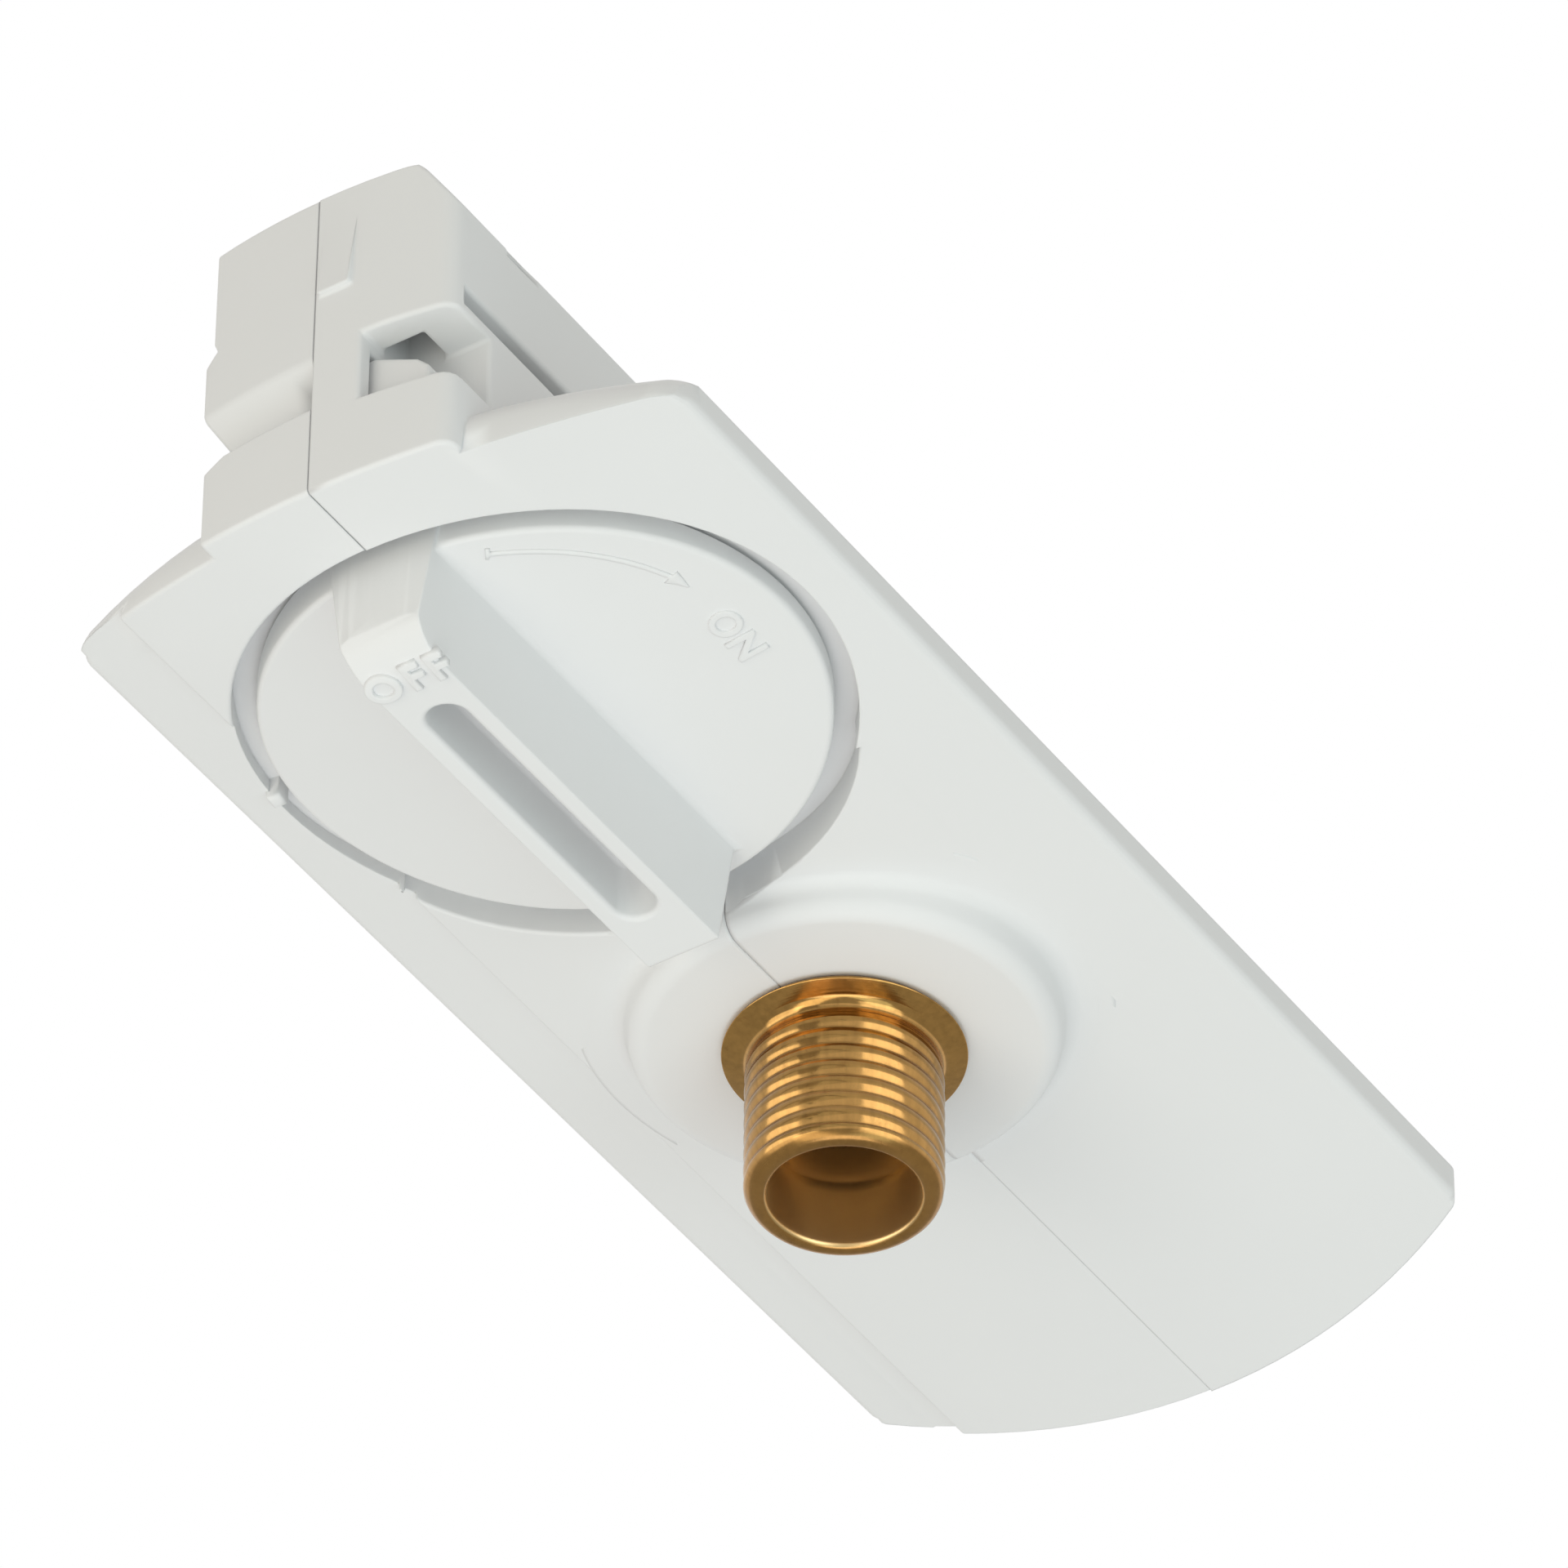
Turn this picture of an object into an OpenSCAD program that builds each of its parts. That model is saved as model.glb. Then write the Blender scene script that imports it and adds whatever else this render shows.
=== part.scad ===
// Track light adapter: a white two-shell housing that clips into a one-circuit track,
// with a quarter-turn switch knob and a brass nipple for a hanging lamp.
// The origin is on the knob axis in the plane of the cover's rim. +X runs towards the nipple,
// +Z runs up into the track, and the two shells meet on the plane y = 0.

/* [Cover] */
// Width of the cover across the track
cover_w = 35; // [33:0.5:40]
// Apex of the end arc beside the knob, from the knob axis
cover_near = 17.8; // [17.2:0.1:19]
// Apex of the far end arc, from the knob axis
cover_far = 61.1; // [58:0.1:70]
// Radius of the end arc beside the knob
near_arc_r = 39; // [35:0.5:60]
// How far the near end swells out below the rim
near_swell = 1.05; // [0.4:0.05:1.4]
// Depth below the rim at which the near end is widest
swell_depth = 1.7; // [1.2:0.1:2]
// Radius of the far end arc
far_arc_r = 35.3; // [30:0.5:60]
// Depth of the crowned face below the rim, along the middle
crown_depth = 3.55; // [3.4:0.05:4.5]
// Depth of the crowned face below the rim, along the long edges
edge_depth = 1.75; // [1.5:0.05:2.2]
// Radius of the rounding along the long edges
edge_r = 0.6; // [0.3:0.05:0.8]
// Thickness of the crowned face
face_wall = 1.1; // [0.9:0.05:1.3]
// Thickness of the rim
rim_wall = 1.4; // [1:0.1:2]
// Distance of the polarity step from the middle
strip_y = 13.4; // [13:0.1:15]
// Height of the polarity step
strip_step = 0.45; // [0.2:0.05:0.6]
// Thickness of the stiffening ribs
rib_t = 0.9; // [0.6:0.1:1.5]
// Distance between the stiffening ribs
rib_pitch = 9; // [7:0.5:14]

/* [Head] */
// Apex of the bowed end wall, from the knob axis
head_near = 20; // [19.8:0.1:22]
// Radius of the bowed end wall
head_arc_r = 36; // [30:0.5:60]
// Far end of the head, from the nipple
head_far = 17.5; // [17.3:0.1:22]
// Side of the head on the front shell, from the middle
head_front = 7.55; // [7.5:0.05:9]
// Side of the head on the rear shell, from the middle
head_rear = 6.65; // [6.5:0.05:7.5]
// Height of the head above the rim
head_h = 15.5; // [15.2:0.1:18]
// Width of the sloped top edge on the front shell
slope_w = 2.05; // [1.5:0.05:2.4]
// Drop of the sloped top edge on the front shell
slope_h = 3.2; // [2.5:0.1:3.6]
// Radius of the upright corner of the front shell
corner_r = 1; // [0.5:0.1:1.4]
// Wall of the head
head_wall = 1.4; // [1.2:0.05:1.6]
// Solid length behind the bowed end wall
end_block = 5.6; // [5.4:0.1:5.9]
// Depth of the groove in the rear shell
groove_d = 1.25; // [0.8:0.05:1.3]
// Height of the groove's upper edge
groove_top = 5; // [4.6:0.1:5.4]
// Height of the groove's lower edge
groove_low = 1.9; // [1.7:0.1:2.1]
// Height of the groove's upright floor
groove_floor = 0.5; // [0.3:0.1:0.8]
// Thickness of the wall behind the groove
groove_wall = 0.75; // [0.6:0.05:0.9]
// Gap between the two shells
parting = 0.07; // [0.06:0.01:0.2]

/* [Latch] */
// Height of the corner window's sill
window_low = 1.4; // [1.2:0.1:1.6]
// Height of the corner window's ceiling
window_top = 5.6; // [5.3:0.1:5.8]
// Depth of the corner window along the head
window_depth = 3.9; // [3.6:0.1:4.4]
// Distance of the window's inner side from the parting plane
window_y = 2.65; // [2.4:0.05:2.9]
// Length of the opening in the window's ceiling, along the head
hole_l = 2; // [1.6:0.1:2.2]
// Width of the opening in the window's ceiling
hole_w = 2.4; // [1.8:0.1:2.8]
// Depth of the opening in the window's ceiling
hole_d = 3.2; // [2:0.1:4]
// Width of the latch arm
latch_w = 2; // [1.8:0.1:2.2]
// Height of the latch arm
latch_h = 3.2; // [2.8:0.1:3.4]
// Reach of the latch arm across the parting plane
latch_reach = 5.8; // [5.2:0.1:6]
// Drop of the latch's sloped nose
latch_drop = 1.2; // [0.8:0.1:1.6]
// Room around the latch arm
latch_gap = 0.2; // [0.15:0.05:0.3]

/* [Knob] */
// Radius of the round recess in the cover
recess_r = 15.1; // [14.8:0.05:15.2]
// Radius of the recess where the knob's grip sweeps
sweep_r = 15.7; // [15.4:0.05:15.9]
// Thickness of the recess floor
recess_floor = 1; // [0.8:0.05:1.1]
// Radius of the knob's disc
disc_r = 13.9; // [13.5:0.05:14]
// Gap between the disc and the recess floor
disc_gap = 0.3; // [0.2:0.05:0.4]
// Width of the grip at the disc
grip_base_w = 5.8; // [5:0.05:6.5]
// Width of the grip at its edge
grip_w = 4.1; // [3.8:0.05:4.8]
// Depth of the grip's edge below the rim
grip_z = 9; // [8:0.1:10]
// End of the grip on the nipple side, from the axis
grip_far = 12.35; // [11.6:0.05:12.8]
// End of the grip on the head side, from the axis
grip_near = 14.1; // [13.8:0.1:14.4]
// Length of the rounded nose of the grip
nose_l = 2.6; // [2:0.1:3]
// Height of the rounded nose of the grip
nose_h = 2.1; // [1:0.1:2.6]
// Width of the slot in the grip
slot_w = 2.15; // [1.8:0.05:2.4]
// Length of the slot in the grip
slot_l = 18; // [16:0.1:18.4]
// Depth of the slot in the grip
slot_d = 3.2; // [2:0.1:4]

/* [Rotor] */
// Radius of the knob's hub in its bearing
hub_r = 4.2; // [4:0.05:4.3]
// Clearance of the bearings
bearing_gap = 0.15; // [0.1:0.05:0.2]
// Radius of the rotor
rotor_r = 3.5; // [3.3:0.05:3.6]
// Side of the square drive
drive_w = 4; // [3.8:0.05:4.1]
// Clearance in the square drive
drive_gap = 0.05; // [0.02:0.01:0.08]
// Radius of the top pivot
pivot_r = 1.8; // [1.5:0.05:2]
// Reach of the contact blades
blade_reach = 13.5; // [11:0.1:14]
// Width of the contact blades
blade_w = 3.8; // [3:0.1:4]
// Thickness of the contact blades
blade_t = 0.5; // [0.4:0.05:0.6]
// Height of the live blade
live_z = 6.5; // [6.3:0.05:6.7]
// Height of the neutral blade
neutral_z = 11.3; // [11:0.05:11.6]
// Height of the live blade's slot
blade_slot = 1; // [0.9:0.05:1.2]
// Reach of the locking lugs
lug_reach = 10.4; // [9.6:0.1:11]
// Width of the locking lugs
lug_w = 5.2; // [4.6:0.1:5.6]
// Thickness of the locking lugs
lug_t = 1.2; // [1:0.05:1.3]
// Height of the locking lugs above the rim
lug_z = 1.25; // [1.2:0.05:1.4]

/* [Nipple] */
// Distance of the nipple from the knob axis
nipple_x = 26.5; // [26:0.1:28]
// Radius of the thread
thread_r = 4.95; // [4.85:0.01:5]
// End of the thread below the rim
thread_end = 14.45; // [13:0.05:20]
// Radius of the cable bore
bore_r = 3.8; // [3:0.05:3.9]
// Radius of the narrow upper bore
throat_r = 3.3; // [2.8:0.05:3.4]
// Radius of the collar
collar_r = 6.1; // [5.7:0.05:6.6]
// Thickness of the collar
collar_t = 0.55; // [0.4:0.05:0.8]
// Length of the undercut below the collar
undercut_l = 1; // [0.6:0.1:1.5]
// Depth of the undercut and the end chamfer
relief = 0.45; // [0.3:0.05:0.6]
// Radius of the boss at its base
boss_r = 11.2; // [11:0.05:12]
// Radius of the boss's face
boss_face_r = 10; // [9.6:0.1:10.2]
// Height of the boss
boss_h = 1.55; // [1.4:0.05:2]
// Thickness of the boss's face
boss_wall = 1.6; // [1.4:0.05:1.8]
// Width of the nut across its flats
nut_af = 13; // [12:0.1:13.2]
// Thickness of the nut
nut_t = 1.5; // [1.2:0.05:1.6]
// Thickness of the washer and of the earth lug
washer_t = 0.5; // [0.4:0.05:0.6]
// Radius of the washer and of the earth lug
washer_r = 7.2; // [6.8:0.1:7.6]

/* [Terminals] */
// Length of a terminal block
terminal_l = 5.4; // [5:0.1:5.6]
// Width of a terminal block
terminal_w = 2.8; // [2.7:0.05:2.85]
// Height of a terminal block
terminal_h = 6; // [5.6:0.1:6.4]
// Radius of the wire hole
wire_r = 1.05; // [0.8:0.05:1.1]
// Radius of the clamping screw
screw_r = 0.95; // [0.8:0.05:1]
// Thickness of the contact strips
strip_t = 0.4; // [0.3:0.05:0.45]
// Height of the contact strips
strip_h = 1.1; // [0.9:0.05:1.2]

/* [Hidden] */
$fn = 96;

// A length that is longer than the whole adapter, for cutting tools
far = 200;
// A small overlap that keeps joined shapes solid
weld = 0.2;
// A small gap between pieces that lie together
seat_gap = 0.03;
// The least gap between the rotor and what lies beside it
run_gap = 0.25;
// The gap above and below a locking lug
lug_gap = 0.3;

// Half the cover's width, and the radius of its crowned face
half_w = cover_w / 2;
crown_sag = crown_depth - edge_depth;
crown_r = (half_w * half_w + crown_sag * crown_sag) / (2 * crown_sag);

// The hollow of the head
cavity_near = end_block - head_near;
head_end = nipple_x + head_far;
cavity_far = head_end - head_wall;
cavity_front = head_wall - head_front;
cavity_rear = head_rear - groove_d - groove_wall;
cavity_top = head_h - head_wall;
edge_z = head_h - slope_h;

// The corner window and the latch arm that reaches into it
window_x = window_depth - head_near;
latch_back = 0.6;
latch_x = window_x - latch_back - latch_w;
latch_z = window_low + latch_gap;

// The knob's disc and its hub, with the groove that the clip sits in
disc_top = -(recess_floor + disc_gap);
bearing_r = hub_r + bearing_gap;
clip_z = 0.2;
clip_t = 0.5;
clip_lip = 0.9;
clip_d = 0.6;
clip_r = hub_r + clip_lip;
hub_groove_r = hub_r - clip_d;
hub_top = lug_z - lug_gap;

// The square drive, the cam of the detent and the lowest edge of the neutral contact's sleeve
drive_fit = drive_w + 2 * drive_gap;
cam_gap = 0.9;
cam_z = lug_z + lug_t + cam_gap;
cam_h = 1.4;
cam_w = 5.8;
sleeve_drop = 2.6;
sleeve_z = neutral_z - sleeve_drop;

// The boss's face, the seat of the nut inside it and the pocket round the nut
boss_z = -(crown_depth + boss_h);
seat_z = boss_z + boss_wall;
nut_r = nut_af / sqrt(3);
nut_room = 1.1;
pocket_r = max(washer_r, nut_r) + nut_room;
pocket_wall = 0.8;
lug_low = seat_z + washer_t + 2 * seat_gap;
nut_low = lug_low + washer_t + seat_gap;
stack_top = nut_low + nut_t + seat_gap;

// The terminals, between the strips on the two side walls
shelf_x = nipple_x + pocket_r + pocket_wall / 2;
terminal_x = shelf_x + pocket_wall / 2;
strip_gap = 0.1;
strip_room = strip_t + 2 * seat_gap + strip_gap;
live_y = cavity_front + strip_room;
neutral_y = cavity_rear - strip_room - terminal_w;
earth_y = (live_y + neutral_y) / 2;

// The point on a contact strip that bears on the rotor at 45 degrees, and where the strip leaves its wall
tip_d = (rotor_r + run_gap + strip_t / 2) / sqrt(2);
finger_x = 8;
front_strip_y = cavity_front + seat_gap + strip_t / 2;
rear_strip_y = cavity_rear - seat_gap - strip_t / 2;
earth_drop = 0.3;
tip_set = 0.25;
tip_l = 1.1;
notch_gap = 0.65;
earth_strip_z = edge_z - head_wall - strip_h - earth_drop;

white = [0.87, 0.88, 0.87];
brass = [0.72, 0.56, 0.30];
copper = [0.78, 0.50, 0.33];
steel = [0.72, 0.72, 0.70];

// The space on one side of the parting plane: -1 for the front shell, 1 for the rear shell
module half_space(side) {
    translate([-far / 2, side > 0 ? parting / 2 : -far - parting / 2, -far / 2]) cube(far);
}

// A round bar along X whose lowest line is the crowned face, drawn in by a wall
module crown(inset) {
    translate([-far / 2, 0, crown_r - crown_depth]) rotate([0, 90, 0])
        cylinder(r = crown_r - inset, h = far, $fn = 240);
}

// The cover's outline, drawn in by a wall, from a depth up to a height
module cover_block(inset, low, high, swell = 0) {
    mid = cover_near;
    intersection() {
        translate([-far / 2, -half_w + inset, low]) cube([far, cover_w - 2 * inset, high - low]);
        union() {
            intersection() {
                translate([near_arc_r - cover_near, 0, 0]) near_end(near_arc_r - inset, low, high, swell);
                translate([-far / 2, -far / 2, low]) cube([far / 2 + mid + weld, far, high - low]);
            }
            intersection() {
                translate([cover_far - far_arc_r, 0, low])
                    cylinder(r = far_arc_r - inset, h = high - low, $fn = 180);
                translate([mid, -far / 2, low]) cube([far, far, high - low]);
            }
        }
    }
}

// A round plate whose edge swells out below the rim, over two slopes
module near_end(radius, low, high, swell) {
    share = 0.7;
    rotate_extrude($fn = 180) polygon([
        [0, low - weld], [radius + swell, low - weld], [radius + swell, -swell_depth],
        [radius + share * swell, -swell_depth / 2], [radius, 0], [radius, high + weld], [0, high + weld]
    ]);
}

// What is cut away to round a corner: the ground between chords of an arc and a point outside them
module outside(centre, radius, from, to, point) {
    chords = 4;
    step = (to - from) / chords;
    arc = [for (i = [0 : chords]) centre + radius * [cos(from + i * step), sin(from + i * step)]];
    polygon(concat(
        [2 * arc[0] - arc[1]], [for (i = [1 : chords - 1]) arc[i]],
        [2 * arc[chords] - arc[chords - 1], point]
    ));
}

// What is cut away to round a long edge of the cover, on one side of it
module long_edge(side, inset) {
    ring_r = crown_r - inset - edge_r;
    y = half_w - edge_r;
    z = crown_r - crown_depth - sqrt(ring_r * ring_r - y * y);
    turn = acos(y / ring_r);
    translate([far / 2, 0, 0]) rotate([90, 0, -90]) scale([-side, 1, 1]) linear_extrude(far)
        outside([y, z], edge_r, 0, -turn, [y + 2 * edge_r, z - 2 * edge_r]);
}

// What is cut away to round the upright corner between the front shell's side and the end wall
module end_corner() {
    ring_r = head_arc_r - corner_r;
    y = corner_r - head_front;
    x = head_arc_r - head_near - sqrt(ring_r * ring_r - y * y);
    turn = asin(-y / ring_r);
    translate([0, 0, -far / 2]) linear_extrude(far)
        outside([x, y], corner_r, 180 + turn, 270, [x - 2 * corner_r, y - 2 * corner_r]);
}

// The head's cross-section, with the keyed groove on the rear side, carried along X between the bowed
// end wall and the far end, and down to the crowned face
module head_block() {
    ridge = 0.2;
    inset = 0.25;
    nick_z = groove_top + 4.1;
    nick_rise = 0.5;
    nick_drop = 0.7;
    groove_lead = 0.5;
    difference() {
        intersection() {
            translate([head_end, 0, 0]) rotate([90, 0, -90]) linear_extrude(head_end + head_near + weld)
                polygon([
                    [head_front, -crown_depth], [head_front, edge_z], [head_front - slope_w, head_h],
                    [inset - head_rear, head_h], [inset - head_rear, nick_z + nick_rise],
                    [2 * inset - head_rear, nick_z], [-head_rear - ridge, nick_z - nick_drop],
                    [-head_rear - ridge, groove_top], [groove_d - head_rear, groove_low + groove_floor],
                    [groove_d - head_rear, groove_low], [-head_rear, groove_low - groove_lead],
                    [-head_rear, -crown_depth]
                ]);
            translate([head_arc_r - head_near, 0, -far / 2])
                cylinder(r = head_arc_r, h = far, $fn = 240);
            crown(0);
        }
        end_corner();
    }
}

// The groove of the rear shell where it runs across the bowed end wall
module end_groove() {
    translate([head_arc_r - head_near, 0, 0]) rotate_extrude($fn = 240)
        polygon([
            [head_arc_r + weld, groove_top], [head_arc_r, groove_top],
            [head_arc_r - groove_d, groove_low + groove_floor], [head_arc_r - groove_d, groove_low],
            [head_arc_r + weld, groove_low]
        ]);
}

// The round boss that carries the nipple, with a sloped flank and a rounded edge
module boss() {
    edge = 0.7;
    lean = 25;
    translate([nipple_x, 0, 0]) rotate_extrude()
        polygon(concat(
            [[0, -edge_depth], [boss_r, -edge_depth], [boss_r, -edge_depth - edge]],
            [for (a = [lean : 13 : 90]) [boss_face_r + edge * cos(a), boss_z + edge * (1 - sin(a))]],
            [[0, boss_z]]
        ));
}

// A wedge about the knob axis between two angles
module wedge(from, to, high) {
    linear_extrude(high) polygon([
        [0, 0], far * [cos(from), sin(from)], far * [cos((from + to) / 2), sin((from + to) / 2)],
        far * [cos(to), sin(to)]
    ]);
}

// The recess for the knob's disc, wider on the side that the grip sweeps
module recess(inset, low, high) {
    sweep_from = -48;
    sweep_to = 61;
    translate([0, 0, low]) cylinder(r = recess_r + inset, h = high - low, $fn = 180);
    translate([0, 0, low]) intersection() {
        cylinder(r = sweep_r + inset, h = high - low, $fn = 180);
        wedge(sweep_from, sweep_to, high - low);
    }
}

// The hollow of the cover beside the head
module cover_hollow() {
    difference() {
        intersection() {
            cover_block(rim_wall, -crown_depth, weld);
            crown(face_wall);
        }
        translate([-far / 2, -head_front, -far / 2]) cube([far / 2 + head_end, head_front + head_rear, far]);
        recess(face_wall, -far / 2, far / 2);
        translate([nipple_x, 0, -far / 2]) cylinder(r = pocket_r + pocket_wall, h = far);
        cover_ribs();
    }
}

// Ribs across the hollow of the cover
module cover_ribs() {
    rib_drop = 0.35;
    for (x = [nipple_x - rib_pitch : rib_pitch : cover_far - rim_wall])
        translate([x - rib_t / 2, -far / 2, -far / 2]) cube([rib_t, far, far / 2 - rib_drop]);
}

// The hollow of the head, with the seat of the nut and the bearing of the top pivot
module head_hollow() {
    long = cavity_far - cavity_near;
    wide = cavity_rear - cavity_front;
    translate([cavity_near, cavity_front, 0]) cube([long, wide, cavity_top - slope_h]);
    translate([cavity_near, cavity_front + slope_w, 0]) cube([long, wide - slope_w, cavity_top]);
    translate([nipple_x, 0, seat_z]) cylinder(r = pocket_r, h = stack_top + seat_gap - seat_z);
    translate([nipple_x - pocket_r, cavity_front, stack_top]) cube([2 * pocket_r, wide, weld - stack_top]);
    cylinder(r = clip_r + run_gap, h = hub_top);
    cylinder(r = pivot_r + bearing_gap, h = far);
}

// The openings that the blades and the locking lugs swing through
module swing_slots() {
    lug_slot = lug_t + 2 * lug_gap;
    blade_gap = (blade_slot - blade_t) / 2;
    slit_room = 1;
    slit_end = 1.6;
    lug_side = lug_w / 2 + slit_room;
    blade_side = blade_w / 2 + slit_room;
    front = [far, far + cavity_front + weld];
    rear = [-cavity_rear + weld, far];
    slit(slit_end - head_near, blade_side, front, live_z - blade_gap, blade_slot);
    slit(-blade_side, blade_reach + slit_room, rear, neutral_z - blade_gap, blade_slot);
    slit(-lug_reach - slit_room, lug_side, front, lug_z - lug_gap, lug_slot);
    slit(-lug_side, lug_reach + slit_room, rear, lug_z - lug_gap, lug_slot);
}

// A long opening in a side wall: its two ends along X, its start and depth across, its foot and its height
module slit(from, to, across, low, high) {
    translate([from, -across[0], low]) cube([to - from, across[1], high]);
}

// Both shells in one piece, before the parting
module housing() {
    difference() {
        union() {
            intersection() {
                cover_block(0, -crown_depth - weld, 0, near_swell);
                crown(0);
            }
            head_block();
            boss();
        }
        difference() {
            translate([-far / 2, strip_y, -far / 2]) cube([far, far, far / 2 + weld]);
            crown(strip_step);
            translate([-far / 2, -far / 2, -weld]) cube([far, far, far]);
        }
        long_edge(-1, 0);
        long_edge(1, strip_step);
        cover_hollow();
        head_hollow();
        recess(0, -far / 2, -recess_floor);
        cylinder(r = bearing_r, h = 2 * recess_floor, center = true);
        translate([nipple_x, 0, -far / 2]) cylinder(r = thread_r + seat_gap, h = far / 2);
        swing_slots();
    }
    terminal_seat();
}

// The shelf and the low walls that hold the terminals
module terminal_seat() {
    wall = 0.4;
    shelf_l = cavity_far - shelf_x + weld;
    translate([shelf_x, cavity_front - weld, -crown_depth + face_wall / 2])
        cube([shelf_l, cavity_rear - cavity_front + 2 * weld, crown_depth - face_wall / 2]);
    for (y = [live_y + terminal_w + strip_gap, neutral_y - strip_gap - wall])
        translate([shelf_x, y, -weld]) cube([shelf_l, wall, terminal_h / 2]);
}

// The corner window, the opening in its ceiling, and the way in for the latch arm
module window() {
    wide = head_front - window_y + weld;
    high = window_top - window_low;
    room = 2 * latch_gap;
    translate([-far / 2, -head_front - weld, window_low]) cube([far / 2 + window_x, wide, high]);
    translate([window_x - hole_l, -window_y - hole_w, window_top - weld])
        cube([hole_l, hole_w, hole_d + weld]);
    translate([latch_x - latch_gap, -window_y - weld, window_low])
        cube([latch_w + room, window_y + weld, latch_h + room]);
}

module front_shell() {
    color(white) {
        difference() {
            intersection() {
                housing();
                half_space(-1);
            }
            window();
            contact_notch();
        }
        snap_ramp();
    }
}

// The opening in the sloped edge for the tip of the earth contact
module contact_notch() {
    notch_h = 1.6;
    notch_in = 1;
    notch_x = cavity_near + tip_set - notch_gap;
    notch_l = tip_l + 2 * notch_gap;
    foot = earth_strip_z + strip_h - weld;
    top = edge_z - earth_drop + notch_h;
    translate([notch_x, -head_front - weld, edge_z - earth_drop])
        cube([notch_l, weld + head_wall + notch_in, notch_h]);
    translate([notch_x, cavity_front, foot]) cube([notch_l, notch_in, top - foot]);
}

// The wedge on the end wall that eases the head into the track
module snap_ramp() {
    ramp_y = 0.2;
    ramp_w = 1.9;
    ramp_low = 8.9;
    ramp_h = 4.8;
    ramp_out = 0.3;
    ramp_in = 0.1;
    root = 1;
    translate([-head_near, -ramp_y, ramp_low]) rotate([90, 0, 0]) linear_extrude(ramp_w)
        polygon([[root, 0], [-ramp_out, 0], [ramp_in, ramp_h], [root, ramp_h]]);
}

module rear_shell() {
    nub_angle = 95;
    nub_w = 0.9;
    nub_d = 0.55;
    nub_h = edge_depth + 0.5;
    color(white) {
        difference() {
            intersection() {
                housing();
                half_space(1);
            }
            end_groove();
        }
        rotate(nub_angle) translate([recess_r - nub_d, -nub_w / 2, -nub_h])
            cube([nub_d + weld, nub_w, nub_h - recess_floor + weld]);
        latch();
    }
}

// The latch arm of the rear shell, with the sloped nose that shows in the window
module latch() {
    root = 1;
    nose = 0.7;
    top = latch_z + latch_h;
    low = top - latch_drop;
    translate([latch_x, 0, 0]) rotate([90, 0, 90]) linear_extrude(latch_w) polygon([
        [root, latch_z], [root, top], [-window_y, top], [nose - latch_reach, low],
        [-latch_reach, low - nose], [-latch_reach, latch_z]
    ]);
}

module knob() {
    socket_floor = 0.3;
    color(white) difference() {
        union() {
            intersection() {
                translate([0, 0, -far]) cylinder(r = disc_r, h = far + disc_top, $fn = 180);
                crown(0);
            }
            grip();
            translate([0, 0, disc_top - weld]) cylinder(r = hub_r, h = clip_z - disc_top + weld);
            translate([0, 0, disc_top - weld]) cylinder(r = hub_groove_r, h = hub_top - disc_top + weld);
            translate([0, 0, clip_z + clip_t + seat_gap])
                cylinder(r = hub_r, h = hub_top - clip_z - clip_t - seat_gap);
        }
        translate([-drive_fit / 2, -drive_fit / 2, disc_top + socket_floor])
            cube([drive_fit, drive_fit, far]);
    }
}

// The grip bar under the disc, narrower towards its edge and rounded at its nose, with a blind slot
module grip() {
    slot_shift = -0.5;
    slot_x = (grip_far - grip_near + nose_l) / 2 + slot_shift;
    base_z = -crown_depth;
    widen = (grip_base_w - grip_w) / 2 * (grip_z + disc_top) / (grip_z + base_z);
    half = grip_w / 2;
    difference() {
        intersection() {
            translate([-far / 2, 0, 0]) rotate([90, 0, 90]) linear_extrude(far) polygon([
                [-half, -grip_z], [half, -grip_z], [half + widen, disc_top], [-half - widen, disc_top]
            ]);
            translate([0, far / 2, 0]) rotate([90, 0, 0]) linear_extrude(far) polygon(concat(
                [[-grip_near, disc_top]],
                [for (a = [0 : 15 : 90]) [
                    nose_l * (1 - cos(a)) - grip_near, nose_h * (1 - sin(a)) - grip_z]],
                [[grip_far, -grip_z], [grip_far, disc_top]]
            ));
            translate([0, 0, -grip_z]) cylinder(r = grip_near, h = grip_z, $fn = 180);
        }
        translate([0, 0, -grip_z - weld]) linear_extrude(slot_d + weld) {
            translate([slot_x - (slot_l - slot_w) / 2, -slot_w / 2]) square([slot_l - slot_w, slot_w]);
            for (side = [-1, 1]) translate([slot_x + side * (slot_l - slot_w) / 2, 0]) circle(d = slot_w);
        }
    }
}

module rotor() {
    shank_low = disc_top + 0.4;
    shank_l = cavity_top - shank_low - 1;
    color([0.80, 0.80, 0.78]) {
        difference() {
            translate([0, 0, hub_top + seat_gap]) cylinder(r = rotor_r, h = cavity_top - hub_top - run_gap);
            for (cut = [[lug_z, lug_t], [live_z, blade_t], [sleeve_z, sleeve_drop + blade_t]])
                translate([0, 0, cut[0] - seat_gap]) cylinder(r = rotor_r + weld, h = cut[1] + 2 * seat_gap);
            translate([0, 0, cam_z]) difference() {
                cylinder(r = rotor_r + weld, h = cam_h);
                translate([-cam_w / 2, -cam_w / 2, -weld]) cube([cam_w, cam_w, cam_h + 2 * weld]);
            }
        }
        translate([-drive_w / 2, -drive_w / 2, shank_low]) cube([drive_w, drive_w, shank_l]);
        cylinder(r = pivot_r, h = head_h - run_gap);
    }
}

// The square hole of a plate that the drive turns
module drive_hole(thick) {
    translate([-drive_fit / 2, -drive_fit / 2, -weld]) cube([drive_fit, drive_fit, thick + 2 * weld]);
}

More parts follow.
